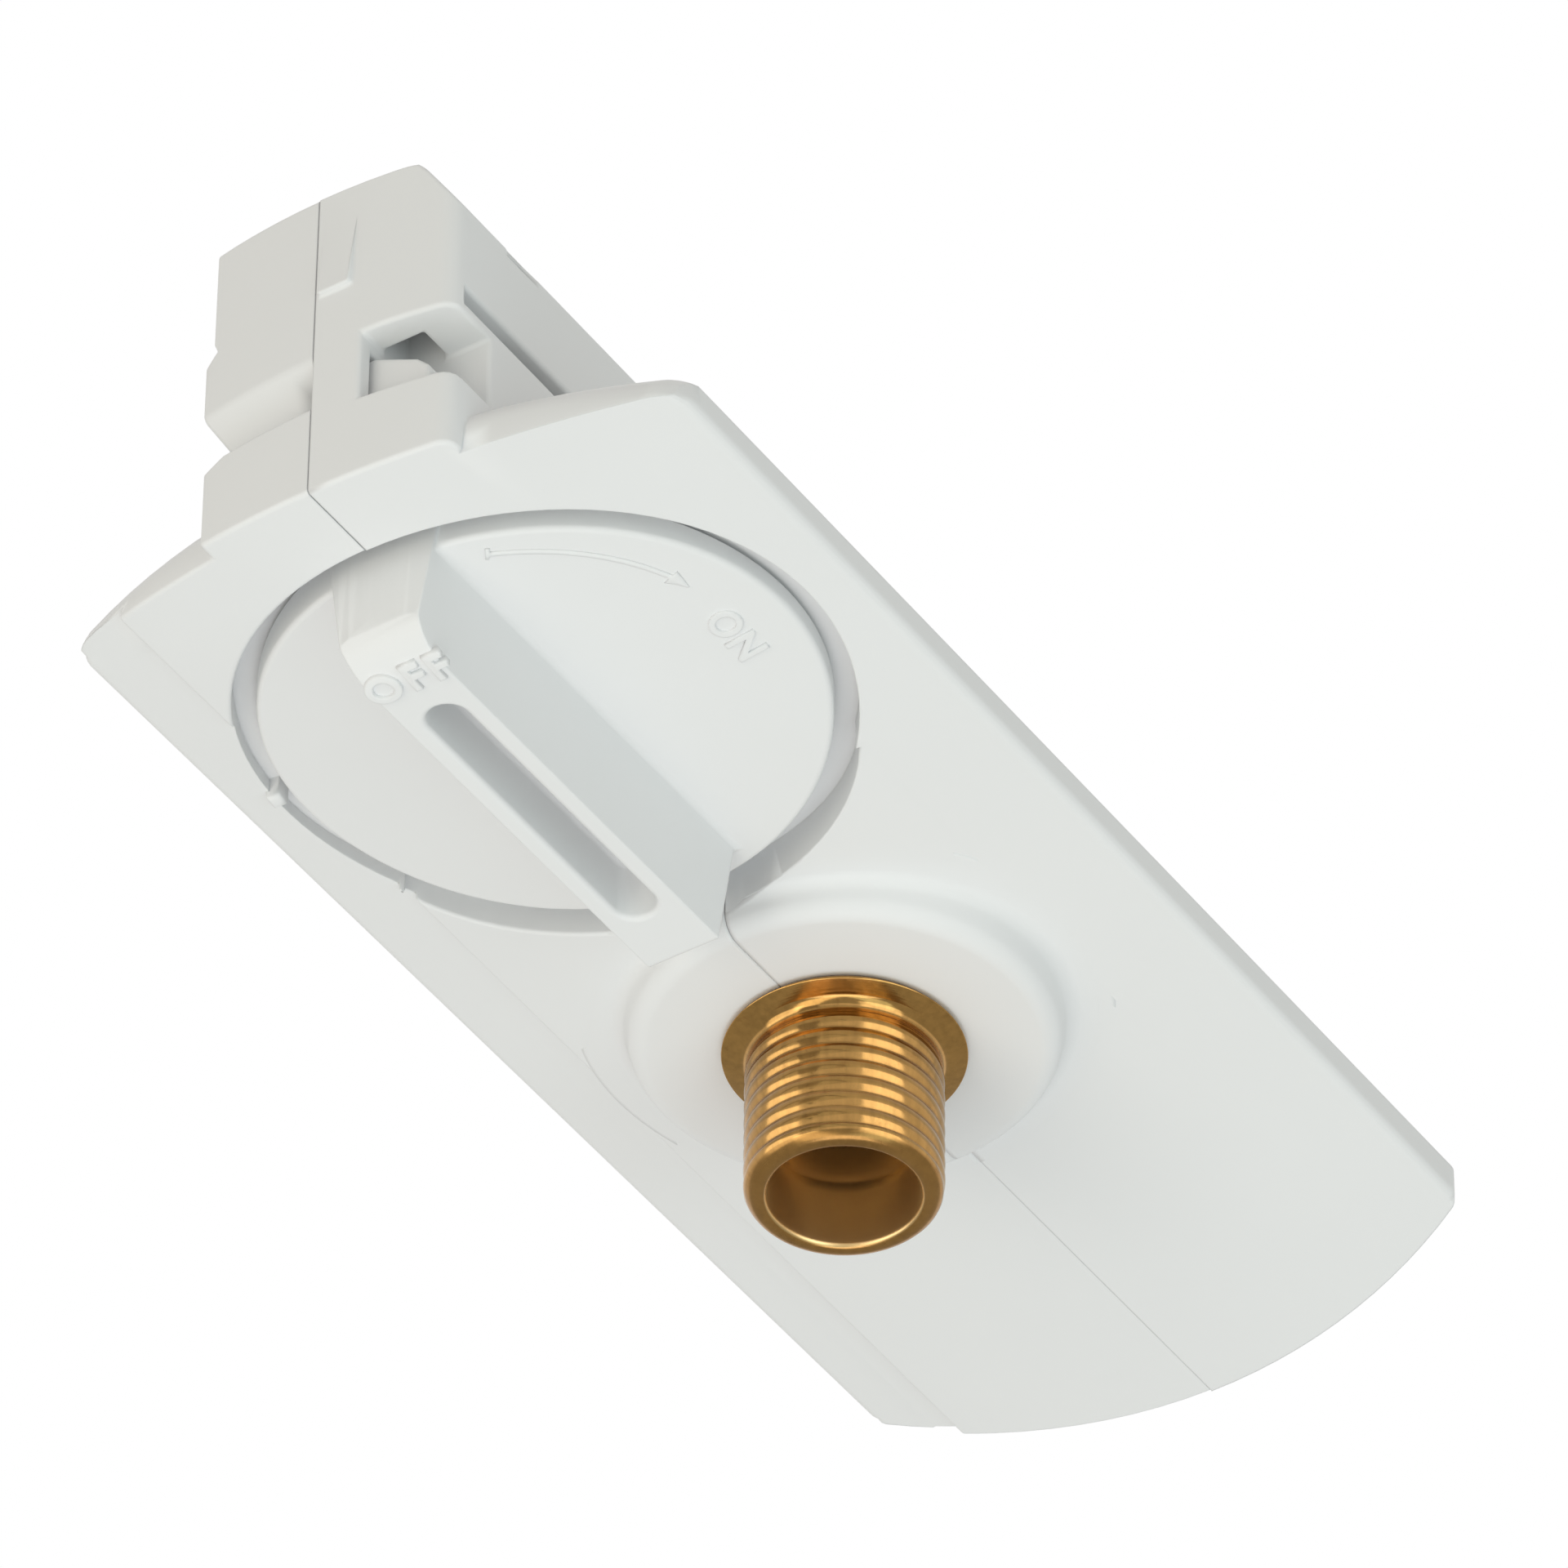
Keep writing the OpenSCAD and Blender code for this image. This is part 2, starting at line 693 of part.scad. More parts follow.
// A flat contact with a square eye on the drive, and an arm with a round end along -X
module eye_blade(eye_h, arm_z) {
    difference() {
        union() {
            cylinder(r = rotor_r, h = eye_h);
            translate([-blade_reach + blade_w / 2, -blade_w / 2, arm_z])
                cube([blade_reach - blade_w / 2, blade_w, blade_t]);
            translate([-blade_reach + blade_w / 2, 0, arm_z]) cylinder(d = blade_w, h = blade_t);
        }
        drive_hole(eye_h);
    }
}

module live_blade() {
    color(copper) translate([0, 0, live_z]) eye_blade(blade_t, 0);
}

module neutral_blade() {
    color(copper) translate([0, 0, sleeve_z]) rotate(180) eye_blade(sleeve_drop + blade_t, sleeve_drop);
}

module lock_plate() {
    color(steel) translate([0, 0, lug_z]) difference() {
        intersection() {
            translate([-lug_reach, -lug_w / 2, 0]) cube([2 * lug_reach, lug_w, lug_t]);
            cylinder(r = lug_reach, h = lug_t);
        }
        drive_hole(lug_t);
    }
}

module knob_clip() {
    mouth = 3;
    color(steel) translate([0, 0, clip_z]) difference() {
        cylinder(r = clip_r, h = clip_t);
        translate([0, 0, -weld]) cylinder(r = hub_groove_r + seat_gap, h = clip_t + 2 * weld);
        translate([0, -mouth / 2, -weld]) cube([2 * clip_r, mouth, clip_t + 2 * weld]);
    }
}

module cord_nipple() {
    top = stack_top + 0.6;
    collar_z = boss_z - collar_t;
    collar_edge = 0.3;
    throat_z = boss_z - 1;
    core_r = thread_r - relief;
    color(brass) translate([nipple_x, 0, 0]) difference() {
        rotate_extrude() polygon([
            [0, top], [core_r, top], [thread_r, top - relief], [thread_r, boss_z],
            [collar_r, boss_z], [collar_r, collar_z + collar_t / 3], [collar_r - collar_edge, collar_z],
            [core_r, collar_z], [core_r, collar_z - undercut_l], [thread_r, collar_z - undercut_l - relief],
            [thread_r, relief - thread_end], [core_r, -thread_end], [0, -thread_end]
        ]);
        translate([0, 0, -thread_end - weld]) cylinder(r = bore_r, h = thread_end + throat_z + weld);
        translate([0, 0, -thread_end]) cylinder(r = throat_r, h = far);
    }
}

// A flat ring about the nipple
module nipple_ring(radius, low, high) {
    translate([nipple_x, 0, low]) difference() {
        cylinder(r = radius, h = high - low);
        translate([0, 0, -weld]) cylinder(r = thread_r + seat_gap, h = high - low + 2 * weld);
    }
}

module lock_washer() {
    teeth = 12;
    tooth_gap = 0.8;
    low = seat_z + seat_gap;
    color(steel) difference() {
        nipple_ring(washer_r, low, low + washer_t);
        for (i = [0 : teeth - 1]) translate([nipple_x, 0, low - weld]) rotate(i * 360 / teeth)
            translate([washer_r - tooth_gap, -tooth_gap / 2, 0])
                cube([tooth_gap + weld, tooth_gap, washer_t + 2 * weld]);
    }
}

module earth_lug() {
    tab_w = 3;
    tab_h = 4;
    tab_gap = 0.6;
    root = 1;
    tab_x = pocket_r - tab_gap;
    color(brass) {
        nipple_ring(washer_r, lug_low, lug_low + washer_t);
        translate([nipple_x + washer_r - root, -tab_w / 2, lug_low])
            cube([tab_x - washer_r + root, tab_w, washer_t]);
        translate([nipple_x + tab_x - washer_t, -tab_w / 2, lug_low]) cube([washer_t, tab_w, tab_h]);
    }
}

module nipple_nut() {
    color(brass) translate([nipple_x, 0, nut_low]) difference() {
        cylinder(r = nut_r, h = nut_t, $fn = 6);
        translate([0, 0, -weld]) cylinder(r = thread_r + seat_gap, h = nut_t + 2 * weld);
    }
}

// A clamping block with a wire hole along X and a screw hole from above
module terminal(y) {
    color(brass) translate([terminal_x, y, seat_gap]) difference() {
        cube([terminal_l, terminal_w, terminal_h]);
        translate([-weld, terminal_w / 2, terminal_h / 3]) rotate([0, 90, 0])
            cylinder(r = wire_r, h = terminal_l + 2 * weld);
        translate([terminal_l / 2, terminal_w / 2, terminal_h / 3])
            cylinder(r = screw_r + seat_gap, h = terminal_h);
    }
}

module live_terminal() {
    terminal(live_y);
}

module neutral_terminal() {
    terminal(neutral_y);
}

module earth_terminal() {
    terminal(earth_y);
}

module terminal_screws() {
    screw_l = 3.6;
    screw_out = 0.9;
    slot = 0.4;
    screw_z = terminal_h - screw_l + screw_out;
    color(steel) for (y = [live_y, earth_y, neutral_y])
        translate([terminal_x + terminal_l / 2, y + terminal_w / 2, screw_z]) difference() {
            cylinder(r = screw_r, h = screw_l);
            translate([-screw_r - weld, -slot / 2, screw_l - slot])
                cube([2 * (screw_r + weld), slot, slot + weld]);
        }
}

// A vector of length one
function unit(v) = v / norm(v);

// A point beside a path's point, at a distance to its left, on the line that halves the corner there
function beside(points, i, d) =
    let (
        last = len(points) - 1,
        before = unit(points[max(i, 1)] - points[max(i, 1) - 1]),
        after = unit(points[min(i, last - 1) + 1] - points[min(i, last - 1)]),
        along = unit(before + after)
    ) points[i] + d * [-along[1], along[0]] / (along * before);

// A strip on edge that follows points in plan
module strip_path(points, thick, high) {
    last = len(points) - 1;
    linear_extrude(high) polygon(concat(
        [for (i = [0 : last]) beside(points, i, thick / 2)],
        [for (i = [last : -1 : 0]) beside(points, i, -thick / 2)]
    ));
}

// The drop of a strip down the side of its terminal
module strip_foot(y, high) {
    foot_l = 2.5;
    low = terminal_h / 3;
    translate([terminal_x, y - strip_t / 2, low]) cube([foot_l, strip_t, high - low]);
}

module live_strip() {
    y = front_strip_y;
    low = live_z + blade_t / 2 - strip_h / 2;
    color(copper) {
        translate([0, 0, low])
            strip_path([[terminal_x, y], [finger_x, y], [tip_d, -tip_d]], strip_t, strip_h);
        strip_foot(y, low + strip_h);
    }
}

module neutral_strip() {
    y = rear_strip_y;
    color(copper) {
        translate([0, 0, sleeve_z])
            strip_path([[terminal_x, y], [finger_x, y], [tip_d, tip_d]], strip_t, strip_h);
        strip_foot(y, sleeve_z + strip_h);
    }
}

module earth_contact() {
    y = front_strip_y;
    arm_w = 1.2;
    arm_y = earth_y + terminal_w / 2;
    arm_z = earth_strip_z + strip_h;
    foot_z = terminal_h + 2 * seat_gap;
    tip_x = cavity_near + tip_set;
    tip_out = 0.7;
    tip_rise = 0.9;
    fold = 0.2;
    inner = y + strip_t / 2;
    outer = y - strip_t / 2;
    color(copper) {
        translate([0, 0, earth_strip_z]) strip_path([[tip_x, y], [terminal_x + arm_w, y]], strip_t, strip_h);
        translate([terminal_x, y, arm_z - strip_t]) cube([arm_w, arm_y - y, strip_t]);
        translate([terminal_x, arm_y - strip_t, foot_z]) cube([arm_w, strip_t, arm_z - foot_z]);
        translate([tip_x, 0, 0]) rotate([90, 0, 90]) linear_extrude(tip_l) polygon([
            [outer, arm_z - weld], [inner, arm_z - weld], [inner, edge_z + fold],
            [outer - tip_out / 2, edge_z + tip_rise], [outer - tip_out, edge_z + tip_rise - strip_t],
            [outer, edge_z]
        ]);
    }
}

module detent_spring() {
    leaf_t = 0.3;
    span = 10;
    edge_gap = 0.1;
    wall_y = cavity_front + seat_gap + leaf_t / 2;
    peak_y = -(rotor_r + run_gap + leaf_t / 2);
    color(steel) translate([0, 0, cam_z + edge_gap]) strip_path([
        for (t = [-1 : 0.25 : 1]) [span * t, peak_y + (wall_y - peak_y) * (1 - cos(180 * t)) / 2]
    ], leaf_t, cam_h - 2 * edge_gap);
}

front_shell();
rear_shell();
knob();
rotor();
live_blade();
neutral_blade();
lock_plate();
knob_clip();
cord_nipple();
lock_washer();
earth_lug();
nipple_nut();
live_terminal();
neutral_terminal();
earth_terminal();
terminal_screws();
live_strip();
neutral_strip();
earth_contact();
detent_spring();
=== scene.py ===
"""Dresses the solids of a track light adapter in white plastic and turned brass, on a plain stage."""

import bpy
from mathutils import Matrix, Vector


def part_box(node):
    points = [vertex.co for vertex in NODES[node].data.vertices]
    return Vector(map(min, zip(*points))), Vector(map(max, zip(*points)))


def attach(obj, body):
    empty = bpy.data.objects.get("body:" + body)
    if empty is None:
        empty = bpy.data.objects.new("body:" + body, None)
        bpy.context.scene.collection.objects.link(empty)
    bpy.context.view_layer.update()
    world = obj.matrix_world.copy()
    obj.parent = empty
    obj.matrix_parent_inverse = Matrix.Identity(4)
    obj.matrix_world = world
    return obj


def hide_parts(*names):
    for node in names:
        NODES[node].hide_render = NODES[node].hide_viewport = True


bl_info = {
    "name": "Track light adapter",
    "version": (1, 0, 0),
    "blender": (4, 5, 0),
    "location": "View3D > Sidebar > Adapter",
    "description": "Dresses the adapter's solids in moulded plastic and turned brass, on a plain stage",
    "category": "Object",
}

import math

import bmesh
import bpy
import numpy as np
from mathutils import Matrix, Vector

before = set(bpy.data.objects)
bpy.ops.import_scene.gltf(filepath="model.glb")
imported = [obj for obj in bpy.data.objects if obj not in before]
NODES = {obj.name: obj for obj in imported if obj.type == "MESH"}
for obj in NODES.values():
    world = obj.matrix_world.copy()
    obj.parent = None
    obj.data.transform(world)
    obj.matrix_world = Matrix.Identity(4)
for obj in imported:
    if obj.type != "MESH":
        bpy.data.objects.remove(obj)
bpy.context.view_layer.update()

MM = 0.001

# Boxes of the solids, the nipple's axis and the radius of its collar
KNOB_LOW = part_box("knob")[0]
SHELL_LOW, SHELL_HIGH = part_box("front_shell")
NIPPLE_LOW, NIPPLE_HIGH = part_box("cord_nipple")
NIPPLE_X = (NIPPLE_LOW.x + NIPPLE_HIGH.x) / 2
COLLAR_R = (NIPPLE_HIGH.x - NIPPLE_LOW.x) / 2
# The hollow of the head and the cover's tray, where edges stay crisp, and the tray's start above the face
INSIDE_LOW = Vector((-15.2, -6.4, -3.2)) * MM
INSIDE_HIGH = Vector((42.8, 5.5, 14.3)) * MM
TRAY_LOW = Vector((-13.2, -16.3, 0)) * MM
TRAY_HIGH = Vector((58, 16.3, 0.6)) * MM
TRAY_FLOOR = 0.3 * MM
# The side of the parting plane on which each half lies
HALVES = {"front": -1, "rear": 1}

# Points nearer than this are one point
WELD = 1e-6
# Degrees between faces that count as one, at a sharp edge, and at the nipple's crisp rims
FLAT_ANGLE = 0.6
SHARP_ANGLE = 21
RIM_ANGLE = 50
# Least and widest rounding of an edge, the faces across it, and its share of the room beside it
LEAST_EDGE = 0.06 * MM
WIDEST_EDGE = 0.8 * MM
EDGE_FACES = 3
ROOM_SHARE = 0.45
# Cosine above which an edge carries on another, and below which it leads away from it
CARRIES_ON = 0.75
LEADS_AWAY = 0.97
# Cuts beside a corner of the cover, as shares of its radius, and how many radii away faces are cut
CORNER_CUTS = (0.1, 0.25, 0.45, 0.7, 1)
CORNER_REACH = 3
# Cuts beside the head's ridge, as shares of its reach, its share of a full round, and the lengthwise part
# of a normal from which a face is an end wall
RIDGE_CUTS = (1, 0.65, 0.35, 0.12)
RIDGE_SHARE = 0.5
END_WALL = 0.5
# How near the parting plane a point is on it, and half of the seam's width where it is open and shut
PARTING = 0.08 * MM
SEAM_OPEN = 0.03 * MM
SEAM_SHUT = 0.0005 * MM

# The boss's skin: rows as first and last radius in millimetres and count, points in its half turn,
# thickness, rise over the face, how many times that its outermost row drops, and the height of its hem
SKIN_ROWS = ((5.2, 9.3, 6), (9.4, 12.1, 64), (12.3, 13.4, 6))
SKIN_STEPS = 128
SKIN_SINK = 0.2 * MM
SKIN_RISE = 0.012 * MM
SKIN_DIP = 2.5
SKIN_HEM = 0.9 * MM

# The words: the middle of each in plan, its letters' spacing, and the second one's rise over the first's
ON_PLACE = (-0.1 * MM, -10.95 * MM)
ON_SPACING = 1.12
OFF_PLACE = (-11.5 * MM, -0.1 * MM)
OFF_SPACING = 1.25
OFF_RISE = 1.6
# Letters: capital height over type size, swell of a stroke, bevel over rise, and steps of a curve
CAPITAL_SHARE = 0.7
STROKE_SWELL = 0.025
LETTER_BEVEL = 0.4
LETTER_STEPS = 6
# The arrow's bar, line and head, as first and last angle in degrees and count of points, and their widths
ARROW_BAR = (201, 201.9, 4)
ARROW_LINE = (202, 243.9, 60)
ARROW_HEAD = (244, 249.5, 12)
BAR_W = 0.9 * MM
HEAD_W = 1.1 * MM
TIP_SHARE = 0.05
# Section of a raised line: places across it and heights, as shares of its width and rise
LINE_ACROSS = (-0.5, -0.32, 0, 0.32, 0.5)
LINE_RISE = (-0.4, 0.8, 1, 0.8, -0.4)

# Points in the nipple's turn
NIPPLE_STEPS = 256

# Metals inside the head: name, colour, roughness and pieces
INNER_METALS = (
    ("copper strip", (0.66, 0.36, 0.2, 1), 0.28,
     ("live_blade", "neutral_blade", "live_strip", "neutral_strip")),
    ("plated strip", (0.3, 0.29, 0.27, 1), 0.36, ("earth_contact",)),
    ("drawn brass", (0.6, 0.38, 0.13, 1), 0.3,
     ("earth_lug", "nipple_nut", "live_terminal", "neutral_terminal", "earth_terminal")),
    ("spring steel", (0.52, 0.52, 0.5, 1), 0.32,
     ("lock_plate", "knob_clip", "lock_washer", "terminal_screws", "detent_spring")),
)
ROTOR_COLOUR = (0.7, 0.69, 0.65, 1)

# The stage: half of the floor's width, its tones and finish, the light all round, and the white seen
FLOOR_HALF = 6.0
FLOOR_DARK = (0.77, 0.80, 0.80, 1)
FLOOR_LIGHT = (0.82, 0.85, 0.85, 1)
FLOOR_ROUGHNESS = 0.9
FLOOR_CLOUDS = 3
AMBIENT = (0.615, 0.6, 0.56, 1)
WHITE = (1, 1, 1, 1)
# Lamps: name, place, width and height, power in watts, tint, and whether it lights matt surfaces
LAMPS = (
    ("left_box", (-0.593, 0.09, -0.52), (0.4, 0.9), 1.98, (1, 0.95, 0.82), True),
    ("right_box", (-0.151, -0.581, -0.52), (0.4, 0.9), 1.35, (0.8, 0.99, 1), True),
    ("under_box", (-0.05, -0.05, -0.9), (0.45, 0.45), 1.6, (0.97, 0.95, 1), True),
    ("left_strip", (-0.584, 0.433, -0.06), (0.57, 0.9), 2.6, (1, 0.98, 0.95), False),
    ("right_strip", (-0.194, -0.716, -0.06), (0.63, 0.9), 2.9, (1, 1, 1), False),
)
# The camera's sensor width in millimetres, and how far it sees in metres
SENSOR_W = 36
SIGHT = 50


def length_property(name, description, default):
    """A length in metres that a user may change."""
    return bpy.props.FloatProperty(
        name=name, description=description, default=default, unit="LENGTH", precision=5)


def turn_property(name, description, degrees):
    """An angle that a user may change."""
    return bpy.props.FloatProperty(
        name=name, description=description, default=math.radians(degrees), unit="ROTATION")


def colour_property(name, description, default):
    """A colour that a user may change."""
    return bpy.props.FloatVectorProperty(
        name=name, description=description, default=default, subtype="COLOR", size=4, min=0, max=1)


class ShellSizes(bpy.types.PropertyGroup):
    """Sizes and colour of the moulded shells and the knob"""

    edge: length_property("Edge", "Radius of the moulded edges", 0.25 * MM)
    corner: length_property("Corner", "Radius of the near corners in plan", 1.3 * MM)
    far_corner: length_property("Far corner", "Radius of the far corners in plan", 0.6 * MM)
    near_bow: length_property("Near bow", "Radius of the near end's arc", 39 * MM)
    near_reach: length_property(
        "Near reach", "Distance of the near corners from the knob's axis at the rim", 13.65 * MM)
    near_lean: bpy.props.FloatProperty(
        name="Near lean", description="How far the near end leans out for each unit of depth", default=0.74)
    far_bow: length_property("Far bow", "Radius of the far end's arc", 35.3 * MM)
    far_reach: length_property("Far reach", "Distance of the far corners from the knob's axis", 56.46 * MM)
    boss_face: length_property("Boss face", "Depth of the boss's face below the rim", 5.1 * MM)
    boss_edge: length_property("Boss edge", "Radius of the boss's edge", 1.1 * MM)
    boss_foot: length_property("Boss foot", "Radius of the hollow at the boss's foot", 0.8 * MM)
    boss_reach: length_property(
        "Boss reach", "Distance from the nipple's axis at which the boss ends", 12 * MM)
    flank_r: length_property("Flank", "Radius at which the boss's flank would meet its face", 10.53 * MM)
    flank_w: length_property("Flank width", "Width of the boss's flank", 0.57 * MM)
    flank_h: length_property("Flank height", "Height of the boss's flank", 2.25 * MM)
    recess_r: length_property("Recess", "Radius of the knob's recess where it cuts the boss", 15.72 * MM)
    ring_step: length_property(
        "Ring step", "How far the wider part of the recess is drawn in beside its steps", 0.4 * MM)
    ring_ease: turn_property(
        "Ring ease", "Turn over which the wider part of the recess regains its radius", 24)
    ring_front: turn_property("Front step", "Turn of the recess's step in the front half", 48)
    ring_rear: turn_property("Rear step", "Turn of the recess's step in the rear half", 61)
    ridge_y: length_property("Ridge", "Distance of the head's front ridge from the middle", 5.5 * MM)
    ridge_lean: turn_property("Ridge lean", "Slope of the side below the head's front ridge", 57.4)
    ridge_reach: length_property(
        "Ridge reach", "How far the round of the head's front ridge reaches", 0.9 * MM)
    knob_edge: length_property("Knob edge", "Radius of the knob's edges", 0.3 * MM)
    crown_depth: length_property("Crown", "Depth of the crowned face below the rim", 3.55 * MM)
    crown_edge: length_property("Crown edge", "Depth of the crowned face at its long edges", 1.75 * MM)
    white: colour_property("White", "Colour of the moulded plastic", (0.797, 0.803, 0.815, 1))


class MarkSizes(bpy.types.PropertyGroup):
    """Sizes of the raised marks on the knob"""

    rise: length_property("Rise", "Height of the marks", 0.09 * MM)
    on_size: length_property("ON", "Height of the letters on the disc", 1.5 * MM)
    off_size: length_property("OFF", "Height of the letters on the grip", 1.6 * MM)
    nose_l: length_property("Nose length", "Length of the grip's rounded nose", 2.6 * MM)
    nose_h: length_property("Nose height", "Height of the grip's rounded nose", 2.1 * MM)
    arrow_start: length_property(
        "Arrow start", "Distance of the arrow's tail from the knob's axis", 12.65 * MM)
    arrow_end: length_property("Arrow end", "Distance of the arrow's head from the knob's axis", 11.75 * MM)
    arrow_w: length_property("Line", "Width of the arrow's line", 0.36 * MM)


class NippleSizes(bpy.types.PropertyGroup):
    """Sizes and colour of the brass nipple"""

    pitch: length_property("Pitch", "Distance between two thread turns", 1.0 * MM)
    thread_r: length_property("Thread", "Outer radius of the thread", 4.95 * MM)
    thread_d: length_property("Thread depth", "Depth of the thread", 0.13 * MM)
    bore_r: length_property("Bore", "Radius of the bore", 3.8 * MM)
    throat_r: length_property("Throat", "Radius of the upper bore", 3.3 * MM)
    boss_z: length_property("Seat", "Height of the boss's face that the collar lies on", -5.1 * MM)
    brass: colour_property("Brass", "Colour of the turned brass", (0.43, 0.24, 0.075, 1))


class StageSizes(bpy.types.PropertyGroup):
    """Camera and floor"""

    azimuth: turn_property("Azimuth", "Turn of the camera about Z", -56.619)
    elevation: turn_property("Elevation", "Rise of the camera", -41.003)
    roll: turn_property("Roll", "Roll of the camera", 0.424)
    distance: length_property("Distance", "Distance of the camera", 0.595)
    target: bpy.props.FloatVectorProperty(
        name="Target", description="Point that the camera looks at", default=(0.013, -0.0052, 0),
        subtype="XYZ", unit="LENGTH", precision=5)
    lens: bpy.props.FloatProperty(
        name="Lens", description="Focal length in millimetres", default=280.475)
    floor_z: length_property("Floor", "Height of the floor", -1.1)


PROPERTY_GROUPS = {
    "adapter_shell": ShellSizes,
    "adapter_marks": MarkSizes,
    "adapter_nipple": NippleSizes,
    "adapter_stage": StageSizes,
}


class Wire:
    """A socket of a node tree; arithmetic on it adds Math nodes, and node() adds any other node."""

    def __init__(self, tree, socket=None):
        self.tree = tree
        self.socket = socket

    def node(self, kind, settings=None, inputs=None, output=0):
        """Adds a node, sets it up, then fills or links its sockets; gives the chosen output."""
        made = self.tree.nodes.new(kind)
        for name, value in (settings or {}).items():
            setattr(made, name, value)
        for name, value in (inputs or {}).items():
            if isinstance(value, Wire):
                self.tree.links.new(value.socket, made.inputs[name])
            else:
                made.inputs[name].default_value = value
        return Wire(self.tree, made.outputs[output])

    def math(self, operation, *values):
        """A Math node on values or wires."""
        return self.node("ShaderNodeMath", {"operation": operation}, dict(enumerate(values)))

    def mix(self, factor, first, second):
        """A colour between two colours."""
        return self.node("ShaderNodeMix", {"data_type": "RGBA"}, {0: factor, 6: first, 7: second}, 2)

    def vector(self, operation, other):
        """A Vector Math node on this vector and another."""
        return self.node("ShaderNodeVectorMath", {"operation": operation}, {0: self, 1: other})

    def parts(self):
        """The X, Y and Z of a vector."""
        return [self.node("ShaderNodeSeparateXYZ", None, {0: self}, output) for output in range(3)]

    def ramp(self, low, high, first=0.0, last=1.0):
        """A level that runs from first to last while this value runs from low to high."""
        return self.node("ShaderNodeMapRange", None, {
            "Value": self, "From Min": low, "From Max": high, "To Min": first, "To Max": last})

    def cloud(self, scale, detail=3, roughness=0.5):
        """Soft noise between 0 and 1 over this place, at a number of grains per metre."""
        return self.node("ShaderNodeTexNoise", None, {
            "Vector": self, "Scale": scale, "Detail": detail, "Roughness": roughness})

    def __add__(self, other):
        return self.math("ADD", self, other)

    def __radd__(self, other):
        return self.math("ADD", other, self)

    def __mul__(self, other):
        return self.math("MULTIPLY", self, other)

    def __rmul__(self, other):
        return self.math("MULTIPLY", other, self)


def new_finish(name, constants):
    """A material whose surface shader holds constants; gives the material, its shader and a wire."""
    material = bpy.data.materials.new(name)
    material.use_nodes = True
    shader = material.node_tree.nodes["Principled BSDF"]
    for socket, value in constants.items():
        shader.inputs[socket].default_value = value
    return material, shader, Wire(material.node_tree)


def feed(shader, links):
    """Links wires to a shader's sockets."""
    for socket, wire in links.items():
        wire.tree.links.new(wire.socket, shader.inputs[socket])


def object_place(wire):
    """The place on a piece, in its object coordinates."""
    return wire.node("ShaderNodeTexCoord", output="Object")


def scaled(colour, factor):
    """A colour made lighter or darker."""
    return (*[min(1, channel * factor) for channel in colour[:3]], 1)


def moulded_plastic(name, colour):
    """Satin white plastic: a spark-eroded grain, faint flow clouds in its tone and a little wear."""
    flow_scale, speck_scale, grain_scale = 55, 900, 5200
    pale, deep, specked = scaled(colour, 1.02), scaled(colour, 0.975), scaled(colour, 0.985)
    edge_round, grain_depth, grain_strength = 0.14 * MM, 0.02 * MM, 0.09
    material, shader, wire = new_finish(name, {"Specular IOR Level": 0.3, "IOR": 1.47})
    place = object_place(wire)
    flow = place.cloud(flow_scale, 4)
    grain = place.cloud(grain_scale, 2)
    speck = place.cloud(speck_scale, 3)
    tint = wire.mix(speck * 0.25, wire.mix(flow, deep, pale), specked)
    gloss = 0.40 + 0.10 * flow + 0.06 * grain
    relief = grain * 0.7 + speck * 0.3
    rounded = wire.node("ShaderNodeBevel", {"samples": 6}, {"Radius": edge_round})
    bump = wire.node("ShaderNodeBump", None, {
        "Strength": grain_strength, "Distance": grain_depth, "Height": relief, "Normal": rounded})
    feed(shader, {"Base Color": tint, "Roughness": gloss, "Normal": bump})
    return material


